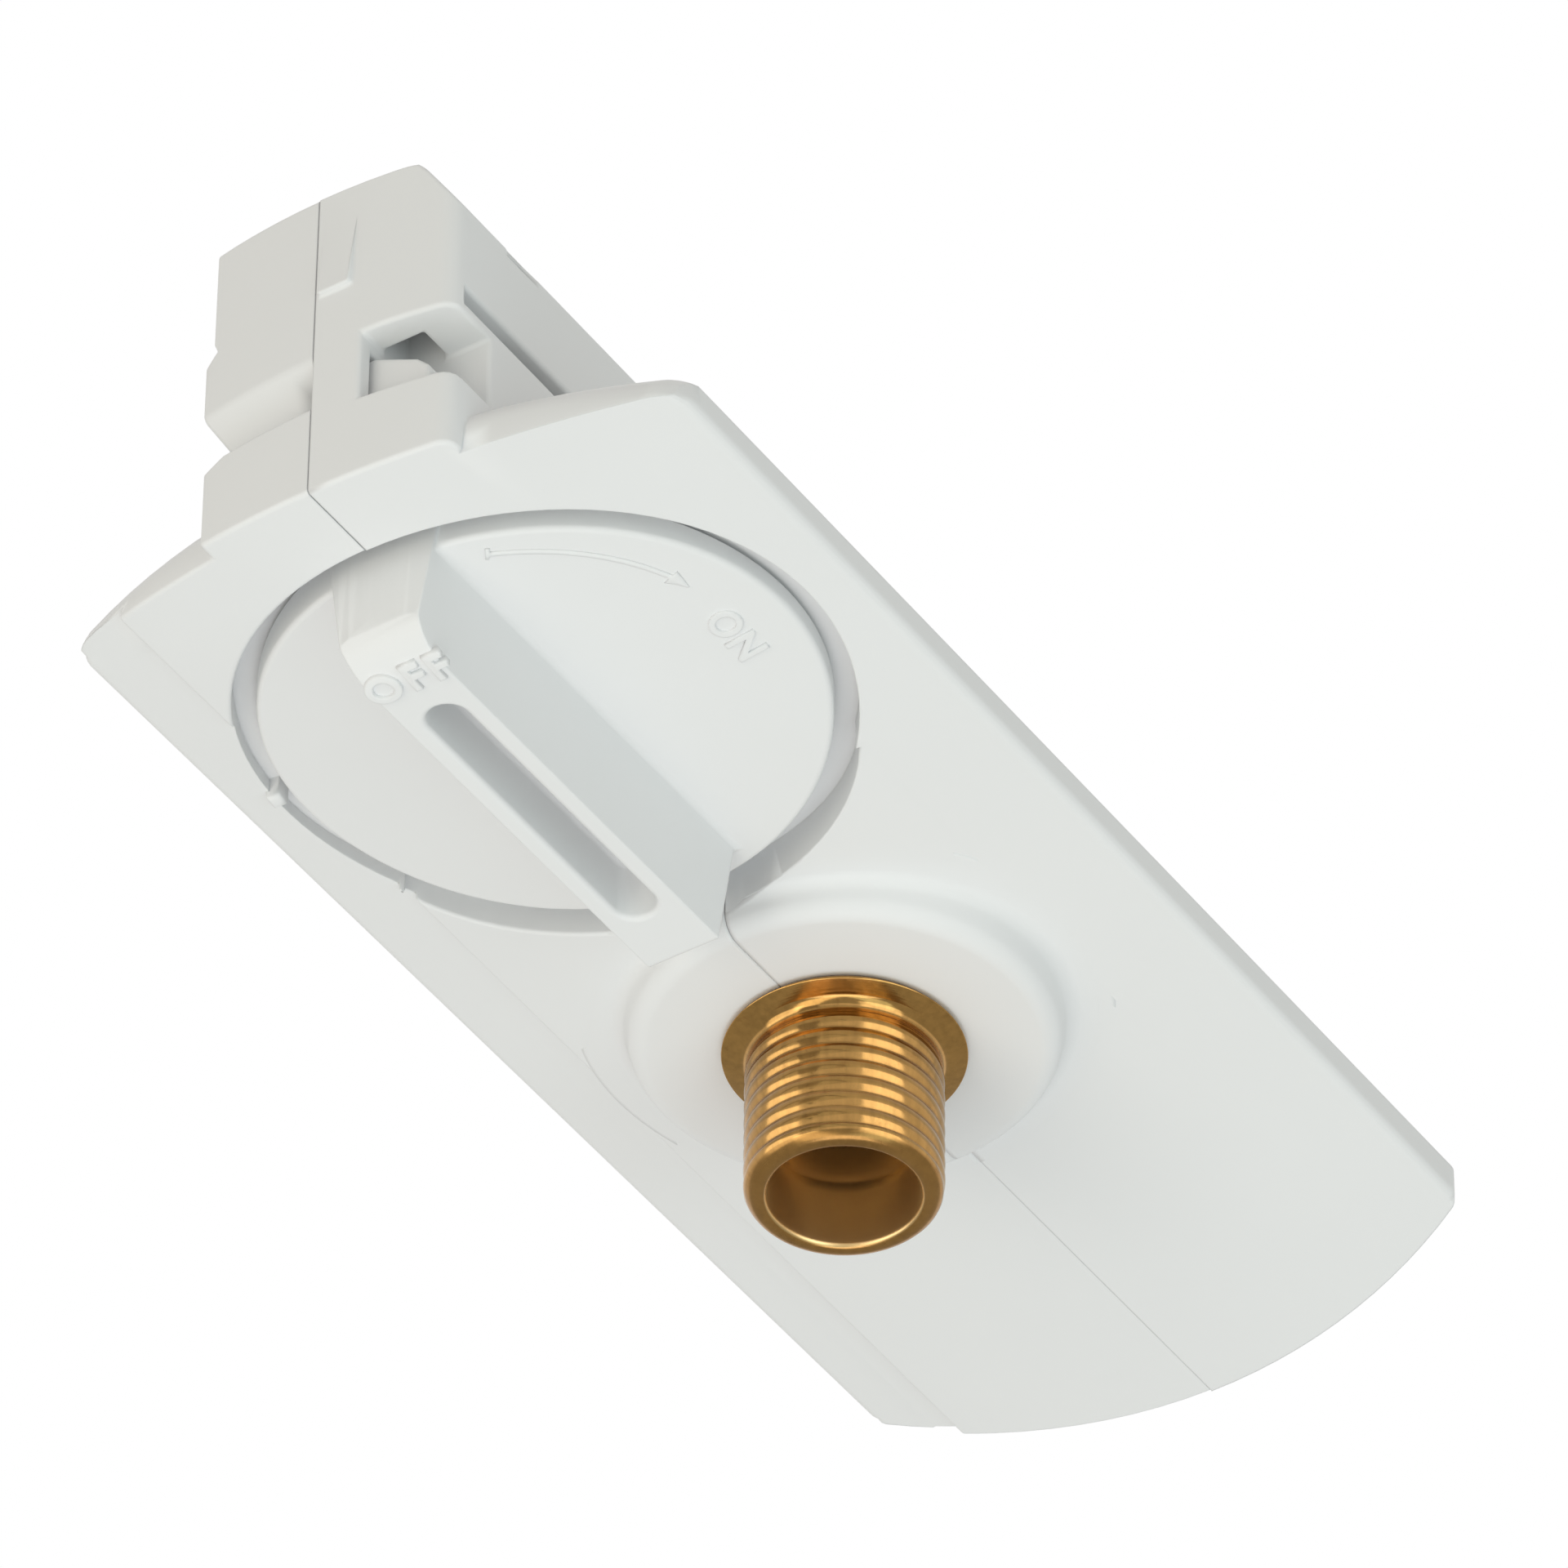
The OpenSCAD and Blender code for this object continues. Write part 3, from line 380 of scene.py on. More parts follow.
def turned_brass(name, colour):
    """Brass off the lathe: fine rings about the nipple's axis, streaks along it, a duller skin in patches,
    dark specks, painted shade in the thread's roots, and painted light that brightens the bore."""
    ring_scale, streak_scale, chatter_scale, skin_scale = 9000, 2600, 900, 190
    # Height and band of radius of the thread's roots, which get painted shade
    thread_top, root_shade_band = -7.1 * MM, (4.83 * MM, 4.87 * MM)
    # Band of radius of the bore, which gets painted light, and the level band of the dark specks
    bore_band, speck_band = (3.82 * MM, 3.95 * MM), (0.6, 0.72)
    # Shares of the brass colour in the stain, which darkens the specks and is also the painted shade in the
    # thread's roots
    streak_stretch, stain_and_shade_shares = (1, 1, 0.12), (0.5, 0.42, 0.4)
    # The third colour is painted light, a brighter tone for the bore
    bright, dark, painted_bore_light = scaled(colour, 1.25), scaled(colour, 0.8), (0.86, 0.61, 0.3, 1)
    relief_depth, relief_strength = 0.02 * MM, 0.22
    stain_and_shade = (*[channel * share for channel, share in zip(colour, stain_and_shade_shares)], 1)
    material, shader, wire = new_finish(name, {"Metallic": 1.0})
    centred = object_place(wire).vector("SUBTRACT", (NIPPLE_X, 0, 0))
    x, y, z = centred.parts()
    radius = wire.math("SQRT", x * x + y * y)
    around = wire.node("ShaderNodeCombineXYZ", None, {0: radius, 1: 0.0, 2: z})
    lengthwise = centred.vector("MULTIPLY", streak_stretch)
    rings = around.cloud(ring_scale, 2)
    streaks = lengthwise.cloud(streak_scale, 3, 0.6)
    chatter = centred.cloud(chatter_scale, 4, 0.65)
    skin = centred.cloud(skin_scale, 4, 0.6)
    # Painted shade: a mask of the thread's roots
    root_shade = wire.math("LESS_THAN", z, thread_top) * radius.ramp(*root_shade_band, 1.0, 0.0)
    # Painted light: a mask of the bore, which also makes it rougher
    bore_mask = radius.ramp(*bore_band, 1.0, 0.0)
    specks = chatter.ramp(*speck_band)
    dull = wire.math("MINIMUM", skin * streaks * 2.6, 1.0)
    tone = wire.mix(dull, bright, dark)
    stained = wire.mix(specks * 0.45, tone, stain_and_shade)
    # Painted shade laid into the thread's roots
    root_shaded = wire.mix(root_shade * 0.35, stained, stain_and_shade)
    # Painted light laid into the bore
    brass_tone = wire.mix(bore_mask, root_shaded, painted_bore_light)
    gloss = 0.07 + 0.07 * rings + 0.1 * chatter + 0.14 * bore_mask + 0.1 * root_shade
    relief = rings * 0.4 + chatter * 0.35 + streaks * 0.25
    bump = wire.node("ShaderNodeBump", None, {
        "Strength": relief_strength, "Distance": relief_depth, "Height": relief})
    feed(shader, {"Base Color": brass_tone, "Roughness": gloss, "Normal": bump})
    return material


def rolled_metal(name, colour, roughness):
    """Rolled strip or turned stock: streaks along its length and cloudy tarnish."""
    streak_scale, tarnish_scale, streak_stretch = 6000, 220, (0.05, 1, 1)
    bright, dark = scaled(colour, 1.08), scaled(colour, 0.8)
    streak_depth, streak_strength = 0.01 * MM, 0.12
    material, shader, wire = new_finish(name, {"Metallic": 1.0})
    place = object_place(wire)
    drawn = wire.node("ShaderNodeMapping", None, {"Vector": place, "Scale": streak_stretch})
    streak = drawn.cloud(streak_scale, 2)
    tarnish = place.cloud(tarnish_scale, 4, 0.6)
    tone = wire.mix(tarnish, bright, dark)
    gloss = roughness + 0.12 * streak + 0.08 * tarnish
    bump = wire.node("ShaderNodeBump", None, {
        "Strength": streak_strength, "Distance": streak_depth, "Height": streak})
    feed(shader, {"Base Color": tone, "Roughness": gloss, "Normal": bump})
    return material


def new_object(name, data):
    """A new object in the scene, at the origin."""
    made = bpy.data.objects.new(name, data)
    bpy.context.scene.collection.objects.link(made)
    return made


def dress(piece, material):
    """Gives a piece its only material."""
    piece.data.materials.clear()
    piece.data.materials.append(material)


def leaving(edge, corner):
    """The direction in which an edge arrives at one end, and each other edge there with where it leads."""
    own = (corner.co - edge.other_vert(corner).co).normalized()
    others = [other for other in corner.link_edges if other != edge]
    return own, [(other, other.other_vert(corner).co - corner.co) for other in others]


def edge_runs(edges):
    """Edges in runs, each of which follows on from edge to edge in nearly one direction."""
    left = dict.fromkeys(edges)
    runs = []
    while left:
        queue = [next(iter(left))]
        del left[queue[0]]
        run = []
        while queue:
            edge = queue.pop()
            run.append(edge)
            for corner in edge.verts:
                own, others = leaving(edge, corner)
                ahead = [other for other, away in others if own.dot(away.normalized()) > CARRIES_ON]
                following = [other for other in ahead if other in left]
                for other in following:
                    del left[other]
                queue += following
        runs.append(run)
    return runs


def run_room(run):
    """The widest rounding with room beside a run: a share of the least sideways reach of its side edges."""
    inside = set(run)
    reaches = []
    for edge in run:
        for corner in edge.verts:
            own, others = leaving(edge, corner)
            for other, away in others:
                if other not in inside and abs(own.dot(away.normalized())) < LEADS_AWAY:
                    reaches.append((away - own * own.dot(away)).length)
    return ROOM_SHARE * min(reaches, default=0)


def within(low, place, high):
    """Whether a place lies in a box."""
    return all(least < at < most for least, at, most in zip(low, place, high))


def softened(node, name, radius_at, material, shape=None):
    """A copy of a solid with doubles merged and flat triangles joined, then shaped. Each run of sharp edges
    is rounded by its radius, as far as it has room, and stays crisp where that is next to nothing."""
    piece = new_object(name, NODES[node].data.copy())
    mesh = bmesh.new()
    mesh.from_mesh(piece.data)
    bmesh.ops.remove_doubles(mesh, verts=mesh.verts, dist=WELD)
    flat = math.radians(FLAT_ANGLE)
    bmesh.ops.dissolve_limit(mesh, angle_limit=flat, verts=mesh.verts, edges=mesh.edges)
    if shape:
        shape(mesh)
    weights = mesh.edges.layers.float.new("bevel_weight_edge")
    sharp = {}
    for edge in mesh.edges:
        if edge.calc_face_angle(0) > math.radians(SHARP_ANGLE):
            sharp[edge] = radius_at((edge.verts[0].co + edge.verts[1].co) / 2)
            edge.smooth = False
    for run in edge_runs([edge for edge, radius in sharp.items() if radius > 0]):
        radius = min(run_room(run), max(sharp[edge] for edge in run))
        for edge in run:
            edge[weights] = radius / WIDEST_EDGE if radius > LEAST_EDGE else 0
            edge.smooth = radius > LEAST_EDGE
    mesh.to_mesh(piece.data)
    mesh.free()
    piece.data.polygons.foreach_set("use_smooth", np.ones(len(piece.data.polygons), bool))
    bevel = piece.modifiers.new("Moulded edge", "BEVEL")
    bevel.width = WIDEST_EDGE
    bevel.segments = EDGE_FACES
    bevel.limit_method = "WEIGHT"
    bevel.loop_slide = False
    bevel.use_clamp_overlap = False
    normals = piece.modifiers.new("Even shading", "WEIGHTED_NORMAL")
    normals.keep_sharp = True
    dress(piece, material)
    return piece


def move_points(mesh, change):
    """Moves all points of a mesh at once; change turns their rows of X, Y and Z into new ones."""
    scratch = bpy.data.meshes.new("scratch")
    mesh.to_mesh(scratch)
    places = np.empty(3 * len(scratch.vertices), np.float32)
    scratch.vertices.foreach_get("co", places)
    moved = change(places.reshape(-1, 3).astype(float))
    scratch.vertices.foreach_set("co", moved.astype(np.float32).ravel())
    mesh.clear()
    mesh.from_mesh(scratch)
    bpy.data.meshes.remove(scratch)


def touches(face, place, reach):
    """Whether a face has a corner within reach of a place."""
    return any((corner.co - place).length < reach for corner in face.verts)


def cut(mesh, faces, place, normal):
    """Cuts faces, with their edges and corners, along a plane."""
    edges = {edge for face in faces for edge in face.edges}
    corners = {corner for face in faces for corner in face.verts}
    parts = [*faces, *edges, *corners]
    bmesh.ops.bisect_plane(mesh, geom=parts, dist=WELD, plane_co=place, plane_no=normal)


def round_corner(mesh, sizes, way, side):
    """Rounds one corner of the cover in plan, after cuts across the faces near it that give points enough
    to bend. In a square of the corner's radius, measured inwards from the bowed end and the long side, a
    point's offset from the square's inner corner shrinks by its longer share over its length, which turns
    the square's outer edges into a quarter round."""
    half = -SHELL_LOW.y
    if way < 0:
        radius, bow, reach, lean = sizes.corner, sizes.near_bow, sizes.near_reach, sizes.near_lean
    else:
        radius, bow, reach, lean = sizes.far_corner, sizes.far_bow, sizes.far_reach, 0

    def end_at(y, z):
        """How far the bowed end reaches at a distance from the middle and a height."""
        return reach - lean * z + np.sqrt(bow * bow - y * y) - math.sqrt(bow * bow - half * half)

    def rounded(places):
        """All places, with those in the square drawn in."""
        x, y, z = places.T
        from_end = end_at(np.clip(np.abs(y), 0, half), z) - way * x
        from_side = half - side * y
        near = (from_end < radius) & (from_side < radius) & (z < WELD) & (z > -sizes.crown_depth)
        offset = radius - np.stack([from_end, from_side], -1)
        longest = offset.max(-1)
        length = np.maximum(np.hypot(*offset.T), WELD)
        drawn = near & (longest > 0)
        offset = np.where(drawn[:, None], offset * (longest / length)[:, None], offset)
        new_y = side * (half - (radius - offset[:, 1]))
        new_x = way * (end_at(np.clip(np.abs(new_y), 0, half), z) - (radius - offset[:, 0]))
        return np.where(near[:, None], np.stack([new_x, new_y, z], -1), places)

    height = -sizes.crown_edge / 2
    middle = Vector((way * end_at(half, height), side * half, height))
    for normal in (Vector((0, side, 0)), Vector((way, 0, 0))):
        for share in CORNER_CUTS:
            near = [face for face in mesh.faces if touches(face, middle, CORNER_REACH * radius)]
            cut(mesh, near, middle - normal * share * radius, normal)
    move_points(mesh, rounded)


def round_ridge(mesh, sizes):
    """Rounds the long ridge between the head's top and its leaning front side. Both faces are cut along the
    ridge; a point then sinks along the bisector by the square of its nearness to the ridge. A full round
    would sink the ridge by its reach times the tangent of a quarter of the turn between the faces."""
    ridge = Vector((0, -sizes.ridge_y, SHELL_HIGH.z))
    down_side = Vector((0, -math.cos(sizes.ridge_lean), -math.sin(sizes.ridge_lean)))
    along_top = Vector((0, 1, 0))
    inward = np.array((along_top + down_side).normalized().yz)
    full_sink = sizes.ridge_reach * math.tan(sizes.ridge_lean / 4)

    def sunk(places):
        """All places, with those near the ridge sunk."""
        offset = places[:, 1:] - np.array(ridge.yz)
        nearness = np.clip(1 - np.hypot(*offset.T) / sizes.ridge_reach, 0, 1)
        places[:, 1:] += (RIDGE_SHARE * full_sink * nearness ** 2)[:, None] * inward
        return places

    for share in RIDGE_CUTS:
        for way in (along_top, down_side):
            mesh.normal_update()
            touching = [corner for corner in mesh.verts if math.hypot(*(corner.co - ridge).yz) < WELD]
            beside = {face for corner in touching for face in corner.link_faces}
            faces = [face for face in beside if abs(face.normal.x) < END_WALL]
            cut(mesh, faces, ridge + way * share * sizes.ridge_reach, way)
    move_points(mesh, sunk)


def ease_recess(mesh, sizes, side):
    """Draws in the wider part of the knob's recess beside its step, so that the step is low. The draw
    fades to none with the turn away from the step, as a square."""
    step = sizes.ring_front if side < 0 else sizes.ring_rear

    def eased(places):
        """All places, with those on the wider part drawn in."""
        x, y, z = places.T
        radius = np.hypot(x, y)
        turn = np.arctan2(side * y, x)
        away = np.clip((step - turn) / sizes.ring_ease, 0, 1)
        on_ring = (np.abs(radius - sizes.recess_r) < PARTING) & (z < -LEAST_EDGE) & (turn > 0)
        shrink = np.where(on_ring, 1 - sizes.ring_step * (1 - away) ** 2 / radius, 1)
        places[:, :2] *= shrink[:, None]
        return places

    move_points(mesh, eased)


def seat_boss(mesh, sizes, side):
    """Sets the boss back under its skin, and draws the parting faces to the seam's width."""

    def seated(places):
        """All places, with those of the boss and of the parting faces moved."""
        x, y, z = places.T
        on_boss = np.hypot(x - NIPPLE_X, y) < sizes.boss_reach
        places[:, 2] += np.where(on_boss & (z < crown_height(y) - LEAST_EDGE), SKIN_SINK, 0)
        places[:, 1] = np.where(np.abs(y) < PARTING, side * seam_at(x), y)
        return places

    move_points(mesh, seated)


def grid_faces(rows, columns):
    """The four-sided faces of a grid whose rows and columns both close on themselves."""
    row, column = np.meshgrid(np.arange(rows), np.arange(columns), indexing="ij")
    next_row, next_column = (row + 1) % rows, (column + 1) % columns
    corners = [row * columns + column, row * columns + next_column,
               next_row * columns + next_column, next_row * columns + column]
    return np.stack(corners, -1).reshape(-1, 4)


def mesh_piece(name, points, faces, material, smooth=True):
    """An object at the origin whose mesh has the given points and faces."""
    mesh = bpy.data.meshes.new(name)
    mesh.from_pydata(points.tolist(), [], [list(face) for face in faces])
    mesh.validate()
    if smooth:
        mesh.shade_smooth()
    piece = new_object(name, mesh)
    dress(piece, material)
    return piece


def merge_doubles(data):
    """Joins the points of a mesh that lie together."""
    mesh = bmesh.new()
    mesh.from_mesh(data)
    bmesh.ops.remove_doubles(mesh, verts=mesh.verts, dist=WELD)
    mesh.to_mesh(data)
    mesh.free()


def crown_height(y):
    """The height of the crowned face at a distance from the middle: a circle's arc, lowest there."""
    shell = bpy.context.scene.adapter_shell
    sag = shell.crown_depth - shell.crown_edge
    half = -SHELL_LOW.y
    radius = (half * half + sag * sag) / (2 * sag)
    return radius - shell.crown_depth - np.sqrt(radius * radius - y * y)


def seam_at(x):
    """Half of the seam's width along the adapter: open up to the nipple, nearly shut beyond it."""
    return np.where(x > NIPPLE_X, SEAM_SHUT, SEAM_OPEN)


def boss_depth(radius, crown, sizes):
    """How deep the boss lies below the rim at a distance from its axis: a flat face, a round edge, a
    straight flank, a hollow round at its foot and then the crowned face, with no crease between them."""
    lean = math.atan2(sizes.flank_h, sizes.flank_w)
    sin, cos = math.sin(lean), math.cos(lean)
    face, edge, foot = sizes.boss_face, sizes.boss_edge, sizes.boss_foot
    flank = sin * sizes.flank_r + cos * face
    edge_r = (flank - edge - cos * (face - edge)) / sin
    foot_r = (flank + foot - cos * (crown + foot)) / sin
    return np.select(
        [radius < edge_r, radius < edge_r + edge * sin, radius < foot_r - foot * sin, radius < foot_r],
        [face + 0 * radius,
         face - edge + np.sqrt(np.maximum(edge ** 2 - (radius - edge_r) ** 2, 0)),
         (flank - sin * radius) / cos,
         crown + foot - np.sqrt(np.maximum(foot ** 2 - (foot_r - radius) ** 2, 0))],
        crown)


def boss_points(sizes, side):
    """Half of the boss as rows about the nipple's axis, out to a circle or to the rim of the knob's recess,
    whichever is nearer, with a hem turned up into the shell as the last row. A point's height follows
    boss_depth over the crowned face, and the outermost rows dip a hair's breadth into it."""
    rows = np.concatenate([np.linspace(*stretch) for stretch in SKIN_ROWS]) * MM
    turn = side * np.linspace(0, np.pi, SKIN_STEPS)
    along = NIPPLE_X * np.cos(turn)
    short = along ** 2 - NIPPLE_X ** 2 + sizes.recess_r ** 2
    ring = np.where((short > 0) & (along < 0), -along - np.sqrt(np.maximum(short, 0)), np.inf)
    radius = np.minimum(rows[:, None], ring)
    x = NIPPLE_X + radius * np.cos(turn)
    y = radius * np.sin(turn)
    y = np.where(np.abs(y) < seam_at(x), side * seam_at(x), y)
    beyond = np.clip((radius - sizes.boss_reach) / (rows[-1] - sizes.boss_reach), 0, 1)
    z = -boss_depth(radius, -crown_height(y), sizes) - SKIN_RISE * (1 - SKIN_DIP * beyond)
    points = np.stack([x, y, z], -1)
    hem = points[-1:] + np.array([0, 0, SKIN_HEM])
    return np.concatenate([points, hem])


def sampled(path, step):
    """Points along a profile of straight stretches, no further apart than a step, with each corner kept."""
    parts = []
    for start, end in zip(path[:-1], path[1:]):
        count = max(1, int(np.ceil(np.hypot(*(end - start)) / step)))
        share = np.linspace(0, 1, count, endpoint=False)[:, None]
        parts.append(start + share * (end - start))
    return np.concatenate([*parts, path[-1:]])


def arc_points(centre, radius, start, end, count):
    """Points of a circle's arc between two angles in degrees."""
    angle = np.radians(np.linspace(start, end, count))
    return np.array(centre) + radius * np.stack([np.cos(angle), np.sin(angle)], -1)


def nipple_points(sizes):
    """The nipple as a closed profile turned about its axis, and the number of its rows: a thin collar whose
    underside runs into the neck like a trumpet, a neck that grows smoothly to the thread, a rounded end
    and a stepped bore with a shallow tool mark. Along the thread the radius drops by a wave of round lands
    and narrow grooves, whose phase runs with height over pitch plus turn, so the wave is one helix."""
    lip, lip_round, lip_bevel, lip_turn = 0.35 * MM, 0.08 * MM, 0.3 * MM, 74
    neck_drop, neck_depth, neck_round, swell_depth, swell_rows = 0.2 * MM, 0.62 * MM, 0.6 * MM, 1.9 * MM, 24
    end_round, inner_round, top_bevel = 0.7 * MM, 0.28 * MM, 0.45 * MM
    shoulder_depth, shoulder_h, throat_top = 1.0 * MM, 0.25 * MM, 0.2 * MM
    mark_height, mark_depth, mark_deepest, mark_end = 3.9 * MM, 0.04 * MM, 0.1 * MM, 0.3 * MM
    thread_gap, thread_step, bore_step = 0.03 * MM, 0.04 * MM, 0.5 * MM
    run_in_gap, run_in_h, run_out_h, land_round = 0.25 * MM, 0.6 * MM, 0.8 * MM, 0.012
    low, top, face = NIPPLE_LOW.z, NIPPLE_HIGH.z, sizes.boss_z
    thread, bore, throat = sizes.thread_r, sizes.bore_r, sizes.throat_r
    neck, neck_top = thread - neck_drop, face - neck_depth
    swell_start, swell_end = neck_top - neck_round, face - swell_depth
    shoulder, mark = face - shoulder_depth, low + mark_height
    swell = np.linspace(0, 1, swell_rows)[:, None]
    grown = neck + (thread - neck) * swell * swell * (3 - 2 * swell)
    straight = np.array([[thread, swell_end - thread_gap], [thread, low + end_round]])
    inner = np.array([
        [bore, low + 2 * inner_round], [bore, mark], [bore + mark_depth, mark + mark_deepest],
        [bore, mark + mark_end], [bore, shoulder], [throat, shoulder + shoulder_h],
        [throat, top - throat_top]])
    path = np.concatenate([
        [[throat, top], [thread - top_bevel, top], [thread, top - top_bevel], [thread, face - WELD],
         [COLLAR_R - lip_bevel, face - WELD]],
        arc_points((COLLAR_R - lip_round, face - lip), lip_round, 0, -lip_turn, 6),
        arc_points((neck + neck_round, neck_top - neck_round), neck_round, 180 - lip_turn, 180, 14),
        np.hstack([grown, swell_start + (swell_end - swell_start) * swell])[1:],
        sampled(straight, thread_step),
        arc_points((thread - end_round, low + end_round), end_round, 0, -90, 8),
        arc_points((bore + inner_round, low + inner_round), inner_round, 270, 180, 6),
        sampled(inner, bore_step),
    ])
    radius, height = path[:, 0], path[:, 1]
    outer = (radius > (bore + thread) / 2) & (height < swell_start)
    run_in = np.clip((swell_start - run_in_gap - height) / run_in_h, 0, 1)
    run_out = np.clip((height - low) / run_out_h, 0, 1)
    depth = np.where(outer, run_in * run_out, 0) * sizes.thread_d
    turn = np.linspace(0, 2 * np.pi, NIPPLE_STEPS, endpoint=False)
    phase = height[:, None] / sizes.pitch + turn / (2 * np.pi)
    wave = 1 - np.sqrt(np.sin(np.pi * phase) ** 2 + land_round)
    ring = radius[:, None] - depth[:, None] * wave
    heights = np.broadcast_to(height[:, None], ring.shape)
    points = np.stack([NIPPLE_X + ring * np.cos(turn), ring * np.sin(turn), heights], -1)
    return points.reshape(-1, 3), len(path)


def letters(name, words, size, rise, spacing):
    """Flat letters as a mesh: X along the line and Y up it, both from its middle, and Z the rise."""
    curve = bpy.data.curves.new(name, "FONT")
    curve.body = words
    curve.size = size / CAPITAL_SHARE
    curve.align_x = "CENTER"
    curve.align_y = "CENTER"
    curve.extrude = rise
    curve.offset = size * STROKE_SWELL
    curve.space_character = spacing
    curve.bevel_depth = rise * LETTER_BEVEL
    curve.bevel_resolution = 1
    curve.resolution_u = LETTER_STEPS
    holder = new_object(name, curve)
    evaluated = holder.evaluated_get(bpy.context.evaluated_depsgraph_get())
    shape = bpy.data.meshes.new_from_object(evaluated)
    bpy.data.objects.remove(holder)
    bpy.data.curves.remove(curve)
    merge_doubles(shape)
    return shape


def laid(name, shape, along, up, origin, floor, material):
    """Lays flat letters on the knob's underside: each point goes to the origin plus its share along and up,
    at the height of the face there less its rise."""
    points = np.empty(len(shape.vertices) * 3)
    shape.vertices.foreach_get("co", points)
    points = points.reshape(-1, 3)
    plan = np.array(origin) + points[:, :1] * np.array(along) + points[:, 1:2] * np.array(up)
    height = floor(plan[:, 0], plan[:, 1]) - points[:, 2]
    shape.vertices.foreach_set("co", np.column_stack([plan, height]).astype(np.float32).ravel())
    shape.update()
    shape.name = name
    piece = new_object(name, shape)
    dress(piece, material)
    return piece


def ribbon(centre_line, width):
    """A raised line's points in plan, their shares of the rise, and its faces: five rows across a path (two
    feet, two shoulders and a crest), with an underside between the feet and a face at each end."""
    step = np.gradient(centre_line, axis=0)
    side = np.stack([-step[:, 1], step[:, 0]], -1) / np.hypot(step[:, 0], step[:, 1])[:, None]
    across = np.array(LINE_ACROSS)[None, :, None] * width[:, None, None] * side[:, None, :]
    plan = centre_line[:, None, :] + across
    rows, columns = plan.shape[:2]
    rise = np.broadcast_to(np.array(LINE_RISE), (rows, columns))
    faces = grid_faces(rows, columns)[:(rows - 1) * columns].tolist()
    start = list(range(columns))
    end = [(rows - 1) * columns + column for column in reversed(start)]
    return plan.reshape(-1, 2), rise.ravel(), [*faces, start, end]


class ADAPTER_OT_shells(bpy.types.Operator):
    """Stand rounded, moulded copies in for the two half shells"""

    bl_idname = "adapter.shells"
    bl_label = "Moulded shells"

    def execute(self, context):
        sizes = context.scene.adapter_shell

        def radius_at(middle):
            """None along the parting line, inside the head or the tray, or on the boss, which has a skin."""
            if abs(middle.y) < PARTING or within(INSIDE_LOW, middle, INSIDE_HIGH):
                return 0
            floor = crown_height(min(abs(middle.y), TRAY_HIGH.y)) + TRAY_FLOOR
            if within(Vector((TRAY_LOW.x, TRAY_LOW.y, floor)), middle, TRAY_HIGH):
                return 0
            beside_nipple = math.hypot(middle.x - NIPPLE_X, middle.y) < sizes.boss_reach
            return 0 if beside_nipple and middle.z < -sizes.crown_edge else sizes.edge

        for half, side in HALVES.items():

            def shape(mesh):
                """Rounds the corners and the front ridge, eases the recess's step and seats the boss."""
                for way in (-1, 1):
                    round_corner(mesh, sizes, way, side)
                ease_recess(mesh, sizes, side)
                if half == "front":
                    round_ridge(mesh, sizes)
                seat_boss(mesh, sizes, side)

            material = moulded_plastic(f"moulded {half} half", sizes.white)
            shell = softened(f"{half}_shell", f"{half}_moulding", radius_at, material, shape)
            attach(shell, "housing")
            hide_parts(f"{half}_shell")
        return {"FINISHED"}


class ADAPTER_OT_boss(bpy.types.Operator):
    """Lay the soft-edged skin of each half over the boss that carries the nipple"""

    bl_idname = "adapter.boss"
    bl_label = "Boss"

    def execute(self, context):
        sizes = context.scene.adapter_shell
        for half, side in HALVES.items():
            name = f"{half}_boss"
            points = boss_points(sizes, side)
            rows, columns = points.shape[:2]
            row, column = np.meshgrid(np.arange(rows - 1), np.arange(columns - 1), indexing="ij")
            first = row * columns + column
            corners = [first, first + 1, first + columns + 1, first + columns]
            faces = np.stack(corners[::side], -1).reshape(-1, 4)
            material = moulded_plastic(f"moulded {name}", sizes.white)
            skin = mesh_piece(name, points.reshape(-1, 3), faces, material)
            merge_doubles(skin.data)
            wall = skin.modifiers.new("Skin", "SOLIDIFY")
            wall.thickness = SKIN_SINK
            wall.offset = -1
            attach(skin, "housing")
        return {"FINISHED"}


class ADAPTER_OT_knob(bpy.types.Operator):
    """Stand a rounded, moulded copy in for the switch knob"""

    bl_idname = "adapter.knob"
    bl_label = "Switch knob"

    def execute(self, context):
        sizes = context.scene.adapter_shell

        def radius_at(middle):
            """None on the shaft that is hidden above the disc."""
            return sizes.knob_edge if middle.z < -sizes.edge else 0

        knob = softened("knob", "knob_moulding", radius_at, moulded_plastic("moulded knob", sizes.white))
        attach(knob, "switch")
        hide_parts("knob")
        return {"FINISHED"}


